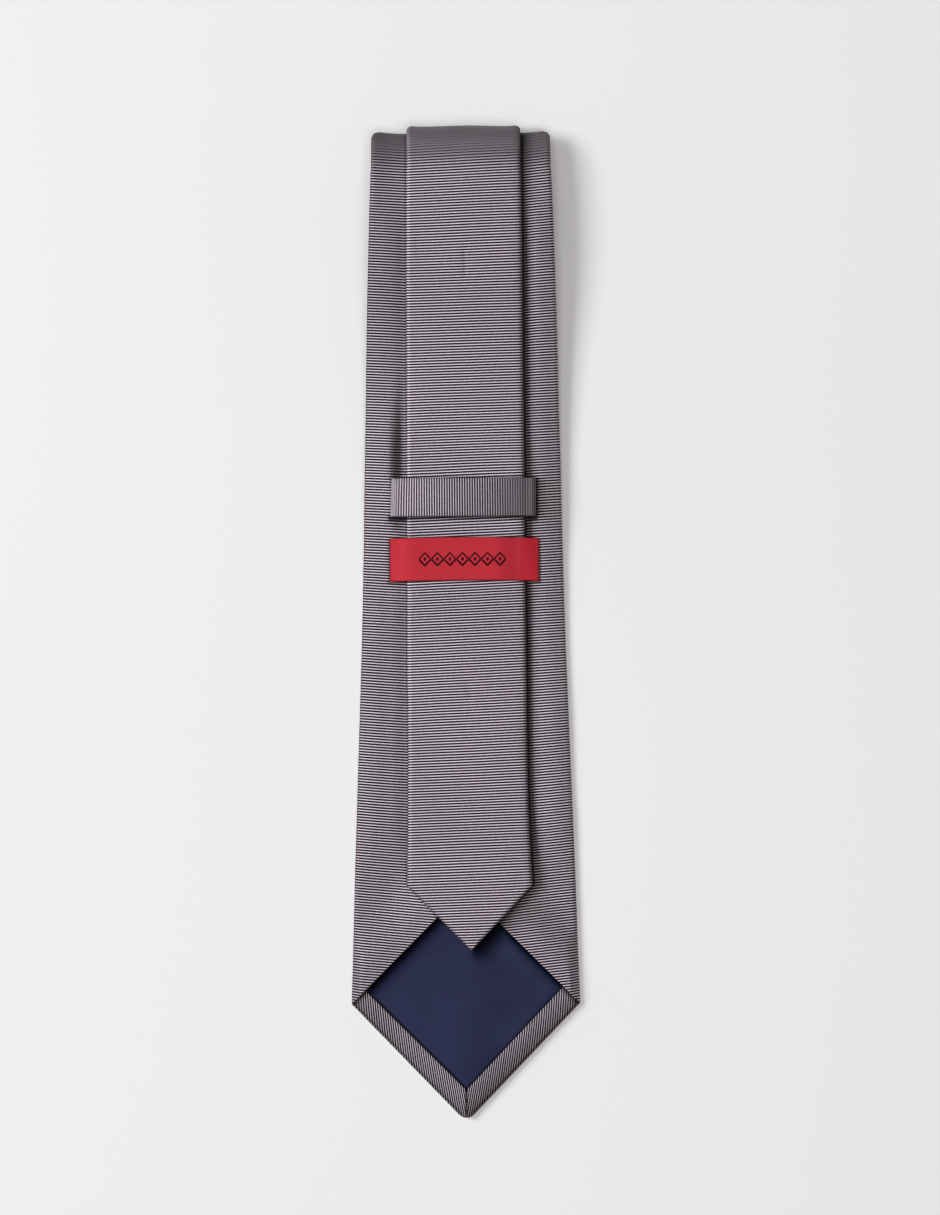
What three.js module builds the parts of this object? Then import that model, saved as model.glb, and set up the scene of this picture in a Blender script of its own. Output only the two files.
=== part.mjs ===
// Slim necktie, folded flat for the shelf.
//
// The wide blade lies on its front with its back up. The narrow blade lies on
// it with its front up, through the keeper loop and under the sewn label. Both
// turn under in one soft fold at the top, run back underneath and meet in the
// neck band, which is doubled back on itself.
//
// Millimetres. +X across the tie, +Y from the wide tip to the top fold, +Z up.
// The origin is on the surface the tie lies on, under the middle of its outline.

import * as THREE from 'three';

// ---------------------------------------------------------------- sizes
const TIP_Y = -152.8;            // wide tip
const WIDE_FOLD_Y = 150.35;      // outermost line of the wide blade's top fold
const NARROW_FOLD_Y = 152.61;    // the narrow blade wraps outside it
const NARROW_TIP_Y = -100.7;     // narrow tip
const WALL = 1.0;                // one cloth wall, front or flap
const SLIT = 0.3;                // space between the front wall and the flaps
const BLADE = 2 * WALL + SLIT;   // a blade's whole thickness
const NECK = 1.3;                // the pressed neck cloth underneath
const GAP = 0.25;                // between neighbouring pieces
const SEAM = 0.15;               // half of the split where two flaps meet

const WIDE_CORNER = 35.2;        // from the wide tip up to its corners
const WIDE_MOUTH = 70.45;        // from the wide tip up to the point of the V opening
const HEM = 8.63;                // turned-up hem, measured along the tie
const HEM_LIFT = 0.3;            // the hem stands this much over a plain flap
const FLAP_LIFT = 1.9;          // the flaps ride over the tipping by this much
const TIPPING_TUCK = 3.0;        // how far the tipping runs on under the flaps
const NECK_REACH = 110;          // how far the doubled neck band comes back down

const FOLD_REACH = 11;           // how far down the soft top fold starts to bend
const FOLD_STEPS = 8;            // facets round a fold

// The wide blade, a row for each section. from_tip runs up the blade; back is
// the height of its back along the middle, droop how much lower its edges hang.
const WIDE = [
  { from_tip: 0.0,   half_width: 1.5,   back: 2.3,   droop: 0 },
  { from_tip: 4.5,   half_width: 5.8,   back: 2.3,   droop: 0 },
  { from_tip: 9.2,   half_width: 10.3,  back: 2.3,   droop: 0 },
  { from_tip: 20.0,  half_width: 20.7,  back: 2.3,   droop: 0 },
  { from_tip: 30.0,  half_width: 30.3,  back: 2.3,   droop: 0 },
  { from_tip: 35.2,  half_width: 35.25, back: 2.3,   droop: 0 },
  { from_tip: 37.4,  half_width: 35.2,  back: 2.3,   droop: 0 },
  { from_tip: 39.5,  half_width: 35.1,  back: 2.3,   droop: 0 },
  { from_tip: 43.0,  half_width: 35.0,  back: 2.3,   droop: 0 },
  { from_tip: 50.3,  half_width: 34.75, back: 2.3,   droop: 0 },
  { from_tip: 60.0,  half_width: 34.45, back: 2.3,   droop: 0 },
  { from_tip: 66.0,  half_width: 34.3,  back: 2.3,   droop: 0 },
  { from_tip: 70.6,  half_width: 34.15, back: 2.3,   droop: 0 },
  { from_tip: 78.0,  half_width: 33.9,  back: 2.3,   droop: 0 },
  { from_tip: 92.0,  half_width: 33.4,  back: 2.3,   droop: 0 },
  { from_tip: 105.8, half_width: 32.9,  back: 2.3,   droop: 0 },
  { from_tip: 133.5, half_width: 31.9,  back: 2.3,   droop: 0 },
  { from_tip: 145.0, half_width: 31.5,  back: 2.3,   droop: 0 },
  { from_tip: 155.0, half_width: 31.2,  back: 2.5,   droop: 0.1 },
  { from_tip: 165.0, half_width: 30.95, back: 3.1,   droop: 0.4 },
  { from_tip: 175.0, half_width: 30.7,  back: 4.0,   droop: 0.9 },
  { from_tip: 185.0, half_width: 30.5,  back: 4.95,  droop: 1.2 },
  { from_tip: 193.0, half_width: 30.35, back: 5.5,   droop: 1.3 },
  { from_tip: 205.0, half_width: 30.1,  back: 5.7,   droop: 1.1 },
  { from_tip: 219.0, half_width: 29.75, back: 6.3,   droop: 0.7 },
  { from_tip: 235.0, half_width: 29.45, back: 7.4,   droop: 0.3 },
  { from_tip: 250.0, half_width: 29.1,  back: 9.0,   droop: 0.1 },
  { from_tip: 263.0, half_width: 28.7,  back: 10.6,  droop: 0 },
  { from_tip: 273.0, half_width: 28.4,  back: 11.25, droop: 0 },
  { from_tip: 282.0, half_width: 28.1,  back: 11.4,  droop: 0 },
  { from_tip: 290.0, half_width: 27.8,  back: 11.4,  droop: 0 },
];
const WIDE_FOLD = { half_width: 27.3, back: 11.4, corner_flare: 0.8 };

// The wide blade's run back underneath, down to its joining seam.
const WIDE_UNDER = [
  { from_fold: 13.5, half_width: 26.9, thick: 1.45 },
  { from_fold: 22, half_width: 26.2, thick: NECK },
  { from_fold: 36, half_width: 25.0, thick: NECK },
];

// The narrow blade, a row for each section. clear is the space left between it
// and the wide blade's back, shift the drift of its middle line to the right and
// crown how far its front swells in the middle.
const NARROW = [
  { from_tip: 0.0,   half_width: 0.9,   clear: 2.10, shift: 1.80, crown: 0 },
  { from_tip: 4.0,   half_width: 4.7,   clear: 2.15, shift: 1.75, crown: 0.15 },
  { from_tip: 9.0,   half_width: 9.6,   clear: 2.20, shift: 1.65, crown: 0.3 },
  { from_tip: 15.0,  half_width: 15.4,  clear: 2.25, shift: 1.55, crown: 0.42 },
  { from_tip: 19.7,  half_width: 19.35, clear: 2.27, shift: 1.45, crown: 0.45 },
  { from_tip: 24.0,  half_width: 19.2,  clear: 2.20, shift: 1.40, crown: 0.45 },
  { from_tip: 30.0,  half_width: 19.0,  clear: 1.75, shift: 1.30, crown: 0.45 },
  { from_tip: 38.0,  half_width: 18.75, clear: 0.85, shift: 1.20, crown: 0.45 },
  { from_tip: 46.0,  half_width: 18.6,  clear: 0.35, shift: 1.10, crown: 0.45 },
  { from_tip: 68.0,  half_width: 18.4,  clear: 0.25, shift: 1.00, crown: 0.45 },
  { from_tip: 92.0,  half_width: 18.4,  clear: 0.25, shift: 0.90, crown: 0.45 },
  { from_tip: 103.0, half_width: 18.35, clear: 0.25, shift: 0.88, crown: 0.45 },
  { from_tip: 113.0, half_width: 18.3,  clear: 0.30, shift: 0.87, crown: 0.4 },
  { from_tip: 122.5, half_width: 18.25, clear: 0.75, shift: 0.86, crown: 0.25 },
  { from_tip: 132.5, half_width: 18.2,  clear: 1.55, shift: 0.85, crown: 0.05 },
  { from_tip: 139.0, half_width: 18.2,  clear: 1.60, shift: 0.85, crown: 0.05 },
  { from_tip: 146.0, half_width: 18.15, clear: 1.55, shift: 0.85, crown: 0.05 },
  { from_tip: 156.0, half_width: 18.1,  clear: 0.70, shift: 0.85, crown: 0.3 },
  { from_tip: 167.0, half_width: 18.05, clear: 0.25, shift: 0.85, crown: 0.45 },
  { from_tip: 183.0, half_width: 17.95, clear: 0.25, shift: 0.85, crown: 0.45 },
  { from_tip: 198.0, half_width: 17.9,  clear: 0.25, shift: 0.85, crown: 0.45 },
  { from_tip: 213.0, half_width: 17.85, clear: 0.25, shift: 0.85, crown: 0.45 },
  { from_tip: 228.0, half_width: 17.75, clear: 0.25, shift: 0.85, crown: 0.45 },
  { from_tip: 238.0, half_width: 17.65, clear: 0.25, shift: 0.85, crown: 0.45 },
];
const NARROW_FOLD = { half_width: 17.5, shift: 0.85, corner_flare: 0.35 };
const NARROW_UNDER = [
  { from_fold: 14, half_width: 17.2, thick: 1.45, shift: 0.8 },
  { from_fold: 26, half_width: 17.0, thick: NECK, shift: 0.6 },
  { from_fold: 50, half_width: 16.8, thick: NECK, shift: 0.3 },
];

// The doubled neck band: down from the wide blade's seam, round the neck fold
// and up again to the narrow blade's seam.
const NECK_DOWN = [
  { from_fold: 36.4,  half_width: 25.0 },
  { from_fold: 56,    half_width: 22.6 },
  { from_fold: 76,    half_width: 20.0 },
  { from_fold: 94,    half_width: 18.0 },
  { from_fold: 104,   half_width: 17.2 },
];
const NECK_UP = [
  { from_fold: 104,   half_width: 16.9, shift: 0.1 },
  { from_fold: 80,    half_width: 16.8, shift: 0.2 },
  { from_fold: 50.4,  half_width: 16.8, shift: 0.3 },
];
const BIAS = 0.7;                // slant of the joining seams, along over across

const LOOP = { y: 38.5, x: 0.3, width: 44.7, height: 11.9, slant: 0.35 };
const LABEL = { y: 19.4, x: 0.35, width: 45.6, height: 13.35, tab: 1.5, rise: 2.2 };

// ---------------------------------------------------------------- helpers
const clamp = (v, a, b) => Math.min(b, Math.max(a, v));
const smooth = (a, b, v) => { const t = clamp((v - a) / (b - a), 0, 1); return t * t * (3 - 2 * t); };

// a named column of a table, read off between its rows
function read(rows, column, at, key = 'from_tip') {
  if (at <= rows[0][key]) return rows[0][column];
  for (let i = 1; i < rows.length; i++) {
    if (at <= rows[i][key]) {
      const f = (at - rows[i - 1][key]) / (rows[i][key] - rows[i - 1][key]);
      return rows[i - 1][column] + f * (rows[i][column] - rows[i - 1][column]);
    }
  }
  return rows[rows.length - 1][column];
}

// inner end of the flap or hem on the wide blade's back
function flapEnd(fromTip) {
  return Math.max(SEAM, Math.min(fromTip - HEM, WIDE_MOUTH - fromTip));
}

// how far flap or hem stands over its plain level
function wideLift(x, fromTip, halfWidth) {
  const inFlap = (Math.abs(x) - (WIDE_MOUTH - fromTip)) / Math.SQRT2;
  const rounded = smooth(0.3, 3.0, halfWidth - Math.abs(x));
  if (inFlap < -0.1) return HEM_LIFT * rounded;
  const nearMouth = 1 - smooth(4, 16, inFlap);
  return Math.max(fromTip < WIDE_CORNER + 6 ? HEM_LIFT : 0, FLAP_LIFT * nearMouth) * rounded;
}

const droopShape = (x) => smooth(17, 30, Math.abs(x));

// height of the wide blade's back under a point
function wideBack(x, y) {
  const t = y - TIP_Y;
  return read(WIDE, 'back', t) - read(WIDE, 'droop', t) * droopShape(x);
}

function meshFrom(name, points, triangles, look) {
  const geometry = new THREE.BufferGeometry();
  geometry.setAttribute('position', new THREE.Float32BufferAttribute(points.flat(), 3));
  let volume = 0;
  for (const [a, b, c] of triangles) {
    const [p, q, r] = [points[a], points[b], points[c]];
    volume += p[0] * (q[1] * r[2] - q[2] * r[1]) - p[1] * (q[0] * r[2] - q[2] * r[0])
      + p[2] * (q[0] * r[1] - q[1] * r[0]);
  }
  geometry.setIndex(triangles.flatMap(([a, b, c]) => (volume > 0 ? [a, b, c] : [a, c, b])));
  geometry.computeVertexNormals();
  const mesh = new THREE.Mesh(geometry, new THREE.MeshStandardMaterial(look));
  mesh.name = name;
  return mesh;
}

// Outline of a blade's cross-section, x across and n from the front face to the
// back: the outer line, and the inner line of the slit between the front wall
// and the flaps, which opens at the seam or at the V.
function section({ halfWidth, thick, end = SEAM, lift = () => 0, crown = 0, hollow }) {
  const e = Math.min(2.0, halfWidth * 0.42);
  const inside = halfWidth - e;
  const flap = [1, 0.7, 0.38, 0.14, 0].map((f) => end + f * (inside - end));
  const swell = (x) => -crown * (1 - (x / inside) ** 2);
  const outerHalf = [
    ...[0.36, 0.7, 1].map((f) => [f * inside, swell(f * inside)]),
    [halfWidth - 0.42 * e, 0.1 * thick], [halfWidth - 0.1 * e, 0.28 * thick],
    [halfWidth, 0.5 * thick],
    [halfWidth - 0.1 * e, 0.72 * thick], [halfWidth - 0.42 * e, 0.9 * thick],
    ...flap.map((x) => [x, thick + lift(x)]),
  ];
  const outer = [
    ...outerHalf.map(([x, n]) => [-x, n]).reverse(), [0, swell(0)], ...outerHalf,
  ];
  if (!hollow) return { outer, inner: [] };
  const innerHalf = [
    ...[...flap].reverse().map((x) => [x, thick - WALL + lift(x)]),
    [inside + 0.4 * e, thick / 2],
    [inside, WALL], [inside * 0.7, WALL], [inside * 0.36, WALL],
  ];
  const inner = [
    ...innerHalf, [0, WALL], ...innerHalf.map(([x, n]) => [-x, n]).reverse(),
  ];
  return { outer, inner };
}

// A cloth ribbon swept along its stations, each placed in the side view.
// front is +1 where the front face looks along the station's normal.
function ribbon(name, stations, look) {
  const points = [];
  const triangles = [];
  const rings = stations.map((s) => {
    const put = ([x, n]) => {
      const off = (s.front > 0 ? s.thick / 2 - n : n - s.thick / 2);
      const across = (s.shift || 0) + x;
      const along = (s.skew || 0) * x;
      const flare = (s.flare || 0) * (Math.abs(x) / s.halfWidth) ** 6;
      points.push([
        across,
        s.y + off * s.ny + along + flare * Math.abs(s.ny) ** 2,
        s.z + off * s.nz - (s.droop || 0) * droopShape(across),
      ]);
      return points.length - 1;
    };
    const line = section(s);
    return {
      outer: line.outer.map(put), inner: line.inner.map(put),
      flat: [...line.outer, ...line.inner], hollow: s.hollow,
    };
  });
  const strip = (a, b) => {
    for (let i = 0; i + 1 < a.length; i++) {
      triangles.push([a[i], b[i], b[i + 1]], [a[i], b[i + 1], a[i + 1]]);
    }
  };
  const cap = (indices, flat, turned) => {
    const contour = flat.map(([x, n]) => new THREE.Vector2(x, n));
    for (const [a, b, c] of THREE.ShapeUtils.triangulateShape(contour, [])) {
      triangles.push(turned ? [indices[a], indices[c], indices[b]] : [indices[a], indices[b], indices[c]]);
    }
  };
  for (let k = 0; k + 1 < rings.length; k++) {
    const a = rings[k], b = rings[k + 1];
    strip(a.outer, b.outer);
    const open = a.hollow && b.hollow;
    const wrapA = open ? [a.outer.at(-1), ...a.inner, a.outer[0]] : [a.outer.at(-1), a.outer[0]];
    const wrapB = open ? [b.outer.at(-1), ...b.inner, b.outer[0]] : [b.outer.at(-1), b.outer[0]];
    strip(wrapA, wrapB);
    if (b.hollow && !rings[k + 2]?.hollow && k + 2 < rings.length) {
      // the slit ends here, inside the blade
      const m = b.outer.length;
      const idx = [b.outer.at(-1), ...b.inner, b.outer[0]];
      cap(idx, [b.flat[m - 1], ...b.flat.slice(m), b.flat[0]], true);
    }
  }
  const first = rings[0], last = rings.at(-1);
  const lineUp = (r) => [...r.outer, ...r.inner];
  cap(lineUp(first), first.flat, false);
  cap(lineUp(last), last.hollow ? last.flat : last.flat.slice(0, last.outer.length), true);
  return fixCaps(name, points, triangles, look);
}

// Caps are turned to agree with the walls they close.
function fixCaps(name, points, triangles, look) {
  const edges = new Map();
  triangles.forEach((t, i) => {
    for (let j = 0; j < 3; j++) {
      const key = Math.min(t[j], t[(j + 1) % 3]) + '_' + Math.max(t[j], t[(j + 1) % 3]);
      if (!edges.has(key)) edges.set(key, []);
      edges.get(key).push(i);
    }
  });
  const has = (t, a, b) => [0, 1, 2].some((j) => t[j] === a && t[(j + 1) % 3] === b);
  const done = new Array(triangles.length).fill(false);
  const queue = [0];
  done[0] = true;
  while (queue.length) {
    const i = queue.pop();
    const t = triangles[i];
    for (let j = 0; j < 3; j++) {
      const a = t[j], b = t[(j + 1) % 3];
      for (const o of edges.get(Math.min(a, b) + '_' + Math.max(a, b))) {
        if (o === i || done[o]) continue;
        if (has(triangles[o], a, b)) triangles[o] = [triangles[o][0], triangles[o][2], triangles[o][1]];
        done[o] = true;
        queue.push(o);
      }
    }
  }
  return meshFrom(name, points, triangles, look);
}

// A half-turn in the side view, from the upper run at zTop to the lower one. It
// is half an oval when reach, its depth along the tie, is given.
function turn({ y, zTop, zLow, toward, thickTop, thickLow, reach }) {
  const r = (zTop - zLow) / 2;
  const deep = reach ?? r;
  const rows = [];
  for (let i = 0; i <= FOLD_STEPS; i++) {
    const f = i / FOLD_STEPS;
    const a = Math.PI * (0.5 - f);
    const l = Math.hypot(Math.cos(a) / deep, Math.sin(a) / r);
    rows.push({
      y: y + toward * deep * Math.cos(a), z: (zTop + zLow) / 2 + r * Math.sin(a),
      ny: toward * Math.cos(a) / deep / l, nz: Math.sin(a) / r / l, f,
      thick: thickTop + f * (thickLow - thickTop),
    });
  }
  return rows;
}

// ---------------------------------------------------------------- wide blade
const A2_MID = NECK + GAP + NECK / 2;      // middle of the upper hidden run
const A1_MID = NECK / 2;                   // middle of the lower hidden run
const turnY = WIDE_FOLD_Y - FOLD_REACH - (BLADE + NECK) / 4;
const wideTurn = turn({ y: turnY, zTop: WIDE_FOLD.back - BLADE / 2, zLow: A2_MID, toward: 1,
  thickTop: BLADE, thickLow: NECK + 0.2, reach: FOLD_REACH });

function upright(rows, toStation) {
  const list = rows.map(toStation);
  list.forEach((s, i) => {
    const a = list[Math.max(0, i - 1)], b = list[Math.min(list.length - 1, i + 1)];
    const l = Math.hypot(b.y - a.y, b.z - a.z);
    s.ny = -(b.z - a.z) / l;
    s.nz = (b.y - a.y) / l;
  });
  return list;
}

const wideStations = [
  ...upright(WIDE, (r) => ({
    y: TIP_Y + r.from_tip, z: r.back - BLADE / 2, thick: BLADE, halfWidth: r.half_width,
    droop: r.droop, hollow: r.from_tip < 285, end: flapEnd(r.from_tip),
    lift: (x) => wideLift(x, r.from_tip, r.half_width), front: -1,
  })),
  ...wideTurn.map((s) => ({
    ...s, halfWidth: WIDE_FOLD.half_width + 0.1 * (0.5 - s.f), flare: WIDE_FOLD.corner_flare, front: -1,
  })),
  ...WIDE_UNDER.map((r, i) => ({
    y: WIDE_FOLD_Y - r.from_fold, z: A2_MID, ny: 0, nz: -1, thick: r.thick, halfWidth: r.half_width,
    skew: -BIAS * [0, 0.35, 1][i], front: -1,
  })),
];
// ---------------------------------------------------------------- narrow blade
// It turns round the outside of the wide blade's fold, this far from its middle.
function foldSpace(f) {
  const top = BLADE + GAP, low = A2_MID - A1_MID, mid = NARROW_FOLD_Y - WIDE_FOLD_Y;
  return top + f * (low - top) + 4 * f * (1 - f) * (mid - (top + low) / 2);
}

const narrowStations = [
  ...upright(NARROW, (r) => {
    const y = NARROW_TIP_Y + r.from_tip;
    return {
      y, z: wideBack(0, y) + r.clear + BLADE / 2, thick: BLADE, halfWidth: r.half_width,
      shift: r.shift, crown: r.crown, hollow: r.from_tip < 235, front: 1,
    };
  }),
  ...wideTurn.map((s) => ({
    ...s, y: s.y + s.ny * foldSpace(s.f), z: s.z + s.nz * foldSpace(s.f),
    thick: BLADE + s.f * (NECK + 0.1 - BLADE), crown: 0.45 * (1 - smooth(0.2, 0.7, s.f)),
    halfWidth: NARROW_FOLD.half_width, shift: NARROW_FOLD.shift, flare: NARROW_FOLD.corner_flare, front: 1,
  })),
  ...NARROW_UNDER.map((r, i) => ({
    y: WIDE_FOLD_Y - r.from_fold, z: A1_MID, ny: 0, nz: -1, thick: NECK, halfWidth: r.half_width,
    shift: r.shift, skew: BIAS * [0, 0.35, 1][i], front: 1,
  })),
];

// ---------------------------------------------------------------- neck band
const neckStations = [
  ...NECK_DOWN.map((r, i) => ({
    y: WIDE_FOLD_Y - r.from_fold, z: A2_MID, ny: 0, nz: -1, thick: NECK, halfWidth: r.half_width,
    skew: -BIAS * [1, 0.4, 0, 0, 0][i], front: -1,
    droop: read(WIDE, 'droop', WIDE_FOLD_Y - r.from_fold - TIP_Y),
  })),
  ...turn({ y: WIDE_FOLD_Y - NECK_REACH, zTop: A2_MID, zLow: A1_MID, toward: -1,
    thickTop: NECK, thickLow: NECK }).map((s) => ({
    ...s, ny: -s.ny, nz: -s.nz, halfWidth: 17.0 - 0.1 * s.f, shift: 0.1 * s.f, front: -1,
  })),
  ...NECK_UP.map((r, i) => ({
    y: WIDE_FOLD_Y - r.from_fold, z: A1_MID, ny: 0, nz: 1, thick: NECK, halfWidth: r.half_width,
    shift: r.shift, skew: BIAS * [0, 0.4, 1][i], front: -1,
  })),
];

// ---------------------------------------------------------------- tipping
// A thin lining laid on the inside of the front wall. Its lower sides meet the
// hem, its upper sides run on under the flaps.
function tipping(look) {
  const low = HEM + 0.6;
  const widest = 30.4;
  const high = WIDE_MOUTH + TIPPING_TUCK;
  const outline = [
    [0, low], [widest, widest + low], [widest, high - widest], [2, high - 2],
    [-2, high - 2], [-widest, high - widest], [-widest, widest + low],
  ];
  const shape = new THREE.Shape(outline.map(([x, t]) => new THREE.Vector2(x, TIP_Y + t)));
  const geometry = new THREE.ExtrudeGeometry(shape, { depth: WALL, bevelEnabled: false });
  geometry.translate(0, 0, WALL + 0.2);
  const mesh = new THREE.Mesh(geometry, new THREE.MeshStandardMaterial(look));
  mesh.name = 'tipping';
  return mesh;
}

// ---------------------------------------------------------------- loop and label
// Both are strips that cross the narrow blade. across is a closed line in the
// front view, x and height over the wide blade's back.
function crossing(name, { y, height, slant = 0 }, across, look) {
  const points = [];
  const triangles = [];
  const steps = [-0.5, -0.17, 0.17, 0.5];
  const rings = steps.map((f) => across.map(([x, n]) => {
    const yy = y + f * height;
    points.push([x + slant * f * smooth(-10, -22, x), yy, wideBack(x, yy) + n]);
    return points.length - 1;
  }));
  for (let k = 0; k + 1 < rings.length; k++) {
    for (let i = 0; i < across.length; i++) {
      const j = (i + 1) % across.length;
      triangles.push([rings[k][i], rings[k + 1][i], rings[k + 1][j]], [rings[k][i], rings[k + 1][j], rings[k][j]]);
    }
  }
  return { name, points, triangles, rings, look };
}

function label(look) {
  const { x, width, tab, rise } = LABEL;
  const span = BLADE + 0.95 + GAP;
  const profile = (xx) => 0.25 + span * smooth(0, rise, width / 2 - tab - Math.abs(xx - x));
  const xs = [-1, -0.965, -0.935, -0.912, -0.89, -0.868, -0.84, -0.6, -0.3, 0, 0.3, 0.6, 0.84, 0.868, 0.89, 0.912, 0.935, 0.965, 1]
    .map((f) => x + f * width / 2);
  const over = xs.map((xx) => [xx, profile(xx) + WALL + 0.25 * (1 - ((xx - x) / (width / 2)) ** 2)]);
  const under = xs.map((xx) => [xx, profile(xx)]).reverse();
  const part = crossing('label', LABEL, [...over, ...under], look);
  const flat = [...over, ...under].map(([a, b]) => new THREE.Vector2(a, b));
  const faces = THREE.ShapeUtils.triangulateShape(flat, []);
  for (const [a, b, c] of faces) {
    part.triangles.push([part.rings[0][a], part.rings[0][b], part.rings[0][c]]);
    part.triangles.push([part.rings.at(-1)[a], part.rings.at(-1)[c], part.rings.at(-1)[b]]);
  }
  return fixCaps('label', part.points, part.triangles, look);
}

// The keeper loop: a band of the shell cloth all the way round the narrow
// blade, its lower run lying on the seam it is sewn into.
function keeperLoop(look) {
  const { x, width } = LOOP;
  const inner = BLADE + 0.55;
  const ringLine = (w, low, high, corner) => {
    const line = [];
    const side = (sx, from, to) => {
      for (let i = 0; i <= 5; i++) {
        const a = from + (to - from) * i / 5;
        line.push([
          x + sx * (w / 2 - corner) + corner * Math.cos(a),
          (low + high) / 2 + ((high - low) / 2) * Math.sin(a),
        ]);
      }
    };
    side(1, -Math.PI / 2, Math.PI / 2);
    line.push([x + 8, high], [x - 8, high]);
    side(-1, Math.PI / 2, 1.5 * Math.PI);
    line.push([x - 8, low], [x + 8, low]);
    return line;
  };
  const outside = ringLine(width, GAP, GAP + 2 * WALL + inner, 1.9);
  const inside = ringLine(width - 2 * WALL, GAP + WALL, GAP + WALL + inner, 1.2);
  const out = crossing('keeper_loop', LOOP, outside, look);
  const ins = crossing('keeper_loop', LOOP, inside, look);
  const base = out.points.length;
  const points = [...out.points, ...ins.points];
  const triangles = [...out.triangles, ...ins.triangles.map(([a, b, c]) => [base + a, base + c, base + b])];
  for (const k of [0, out.rings.length - 1]) {
    for (let i = 0; i < outside.length; i++) {
      const j = (i + 1) % outside.length;
      const [a, b, c, d] = [out.rings[k][i], out.rings[k][j], base + ins.rings[k][j], base + ins.rings[k][i]];
      triangles.push([a, b, c], [a, c, d]);
    }
  }
  return fixCaps('keeper_loop', points, triangles, look);
}

// ---------------------------------------------------------------- looks
const RIBBED = { color: 0x837b83, roughness: 0.72, metalness: 0 };
const NAVY = { color: 0x2a2d4b, roughness: 0.5, metalness: 0 };
const RED = { color: 0xae2f3a, roughness: 0.45, metalness: 0 };

const tie = new THREE.Group();
tie.name = 'slim_tie';
tie.add(
  ribbon('wide_blade', wideStations, RIBBED),
  ribbon('neck_band', neckStations, RIBBED),
  ribbon('narrow_blade', narrowStations, RIBBED),
  tipping(NAVY),
  keeperLoop(RIBBED),
  label(RED),
);

export default tie;
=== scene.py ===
import math

import bmesh
import bpy
import numpy as np
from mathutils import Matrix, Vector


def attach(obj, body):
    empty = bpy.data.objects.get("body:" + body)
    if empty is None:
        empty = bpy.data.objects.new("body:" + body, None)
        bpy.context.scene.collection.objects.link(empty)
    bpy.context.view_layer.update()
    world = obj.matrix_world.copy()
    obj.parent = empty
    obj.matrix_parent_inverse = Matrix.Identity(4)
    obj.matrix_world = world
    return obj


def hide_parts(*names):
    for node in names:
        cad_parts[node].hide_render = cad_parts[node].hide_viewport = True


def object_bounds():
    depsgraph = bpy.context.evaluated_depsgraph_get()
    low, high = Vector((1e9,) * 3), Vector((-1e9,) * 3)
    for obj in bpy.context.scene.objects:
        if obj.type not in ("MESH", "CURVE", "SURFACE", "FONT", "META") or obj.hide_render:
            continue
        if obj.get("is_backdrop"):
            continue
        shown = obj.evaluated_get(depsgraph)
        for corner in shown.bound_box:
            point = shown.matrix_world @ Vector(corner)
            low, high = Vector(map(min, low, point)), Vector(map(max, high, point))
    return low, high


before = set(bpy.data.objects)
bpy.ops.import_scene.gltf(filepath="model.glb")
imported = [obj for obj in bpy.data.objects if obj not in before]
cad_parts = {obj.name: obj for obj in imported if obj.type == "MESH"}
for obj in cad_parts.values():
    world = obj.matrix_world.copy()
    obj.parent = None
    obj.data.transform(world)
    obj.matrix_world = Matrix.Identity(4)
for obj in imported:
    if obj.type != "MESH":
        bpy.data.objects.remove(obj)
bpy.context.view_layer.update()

MM = 0.001

# ------------------------------------------------------------------ sizes, mm
TIP_Y = -152.8
WIDE_FOLD_Y = 150.35
NARROW_FOLD_Y = 152.61
NARROW_TIP_Y = -100.7
BLADE = 2.3
NECK = 1.3
GAP = 0.25
SEAM = 0.13
WIDE_CORNER = 35.2
WIDE_MOUTH = 70.45
HEM = 8.63
HEM_WIDER = {1: 1.055, -1: 1.0}
HEM_LIFT = 0.3
FLAP_LIFT = 1.9
PITCH = 0.842          # one rib of the cloth
TOP_BACK = 11.4

# from_tip, half_width, back, droop
WIDE = [
    (35.2, 35.25, 2.3, 0.0), (43.0, 35.0, 2.3, 0.0), (50.3, 34.75, 2.3, 0.0),
    (60.0, 34.45, 2.3, 0.0), (78.0, 33.9, 2.3, 0.0), (92.0, 33.4, 2.3, 0.0),
    (105.8, 32.9, 2.3, 0.0), (133.5, 31.9, 2.3, 0.0), (145.0, 31.5, 2.3, 0.0),
    (155.0, 31.2, 2.5, 0.1), (165.0, 30.95, 3.1, 0.4), (175.0, 30.7, 4.0, 0.9),
    (185.0, 30.5, 4.95, 1.2), (193.0, 30.35, 5.5, 1.3), (205.0, 30.1, 5.75, 1.1),
    (219.0, 29.75, 6.3, 0.7), (235.0, 29.45, 7.4, 0.3), (250.0, 29.1, 9.0, 0.1),
    (263.0, 28.7, 10.6, 0.0), (273.0, 28.4, 11.25, 0.0), (282.0, 28.1, 11.4, 0.0),
    (292.0, 27.7, 11.4, 0.0),
]
# from_tip, half_width, clear, shift
NARROW = [
    (19.7, 19.4, 2.27, 1.45), (24.0, 19.2, 2.20, 1.40), (30.0, 19.0, 1.75, 1.30),
    (38.0, 18.75, 0.85, 1.20), (46.0, 18.6, 0.35, 1.10), (68.0, 18.4, 0.27, 1.00),
    (92.0, 18.4, 0.27, 0.90), (103.0, 18.35, 0.27, 0.88), (113.0, 18.3, 0.32, 0.87),
    (122.5, 18.25, 0.77, 0.86), (132.5, 18.2, 1.50, 0.85), (139.0, 18.2, 1.56, 0.85),
    (146.0, 18.15, 1.50, 0.85), (156.0, 18.1, 0.72, 0.85), (167.0, 18.05, 0.28, 0.85),
    (183.0, 17.95, 0.27, 0.85), (213.0, 17.85, 0.27, 0.85), (238.0, 17.65, 0.26, 0.85),
    (240.0, 17.6, 0.25, 0.85),
]
NARROW_TIP = [(0.0, 2.10, 1.80), (4.0, 2.15, 1.75), (9.0, 2.20, 1.65), (15.0, 2.25, 1.55)]


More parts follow.
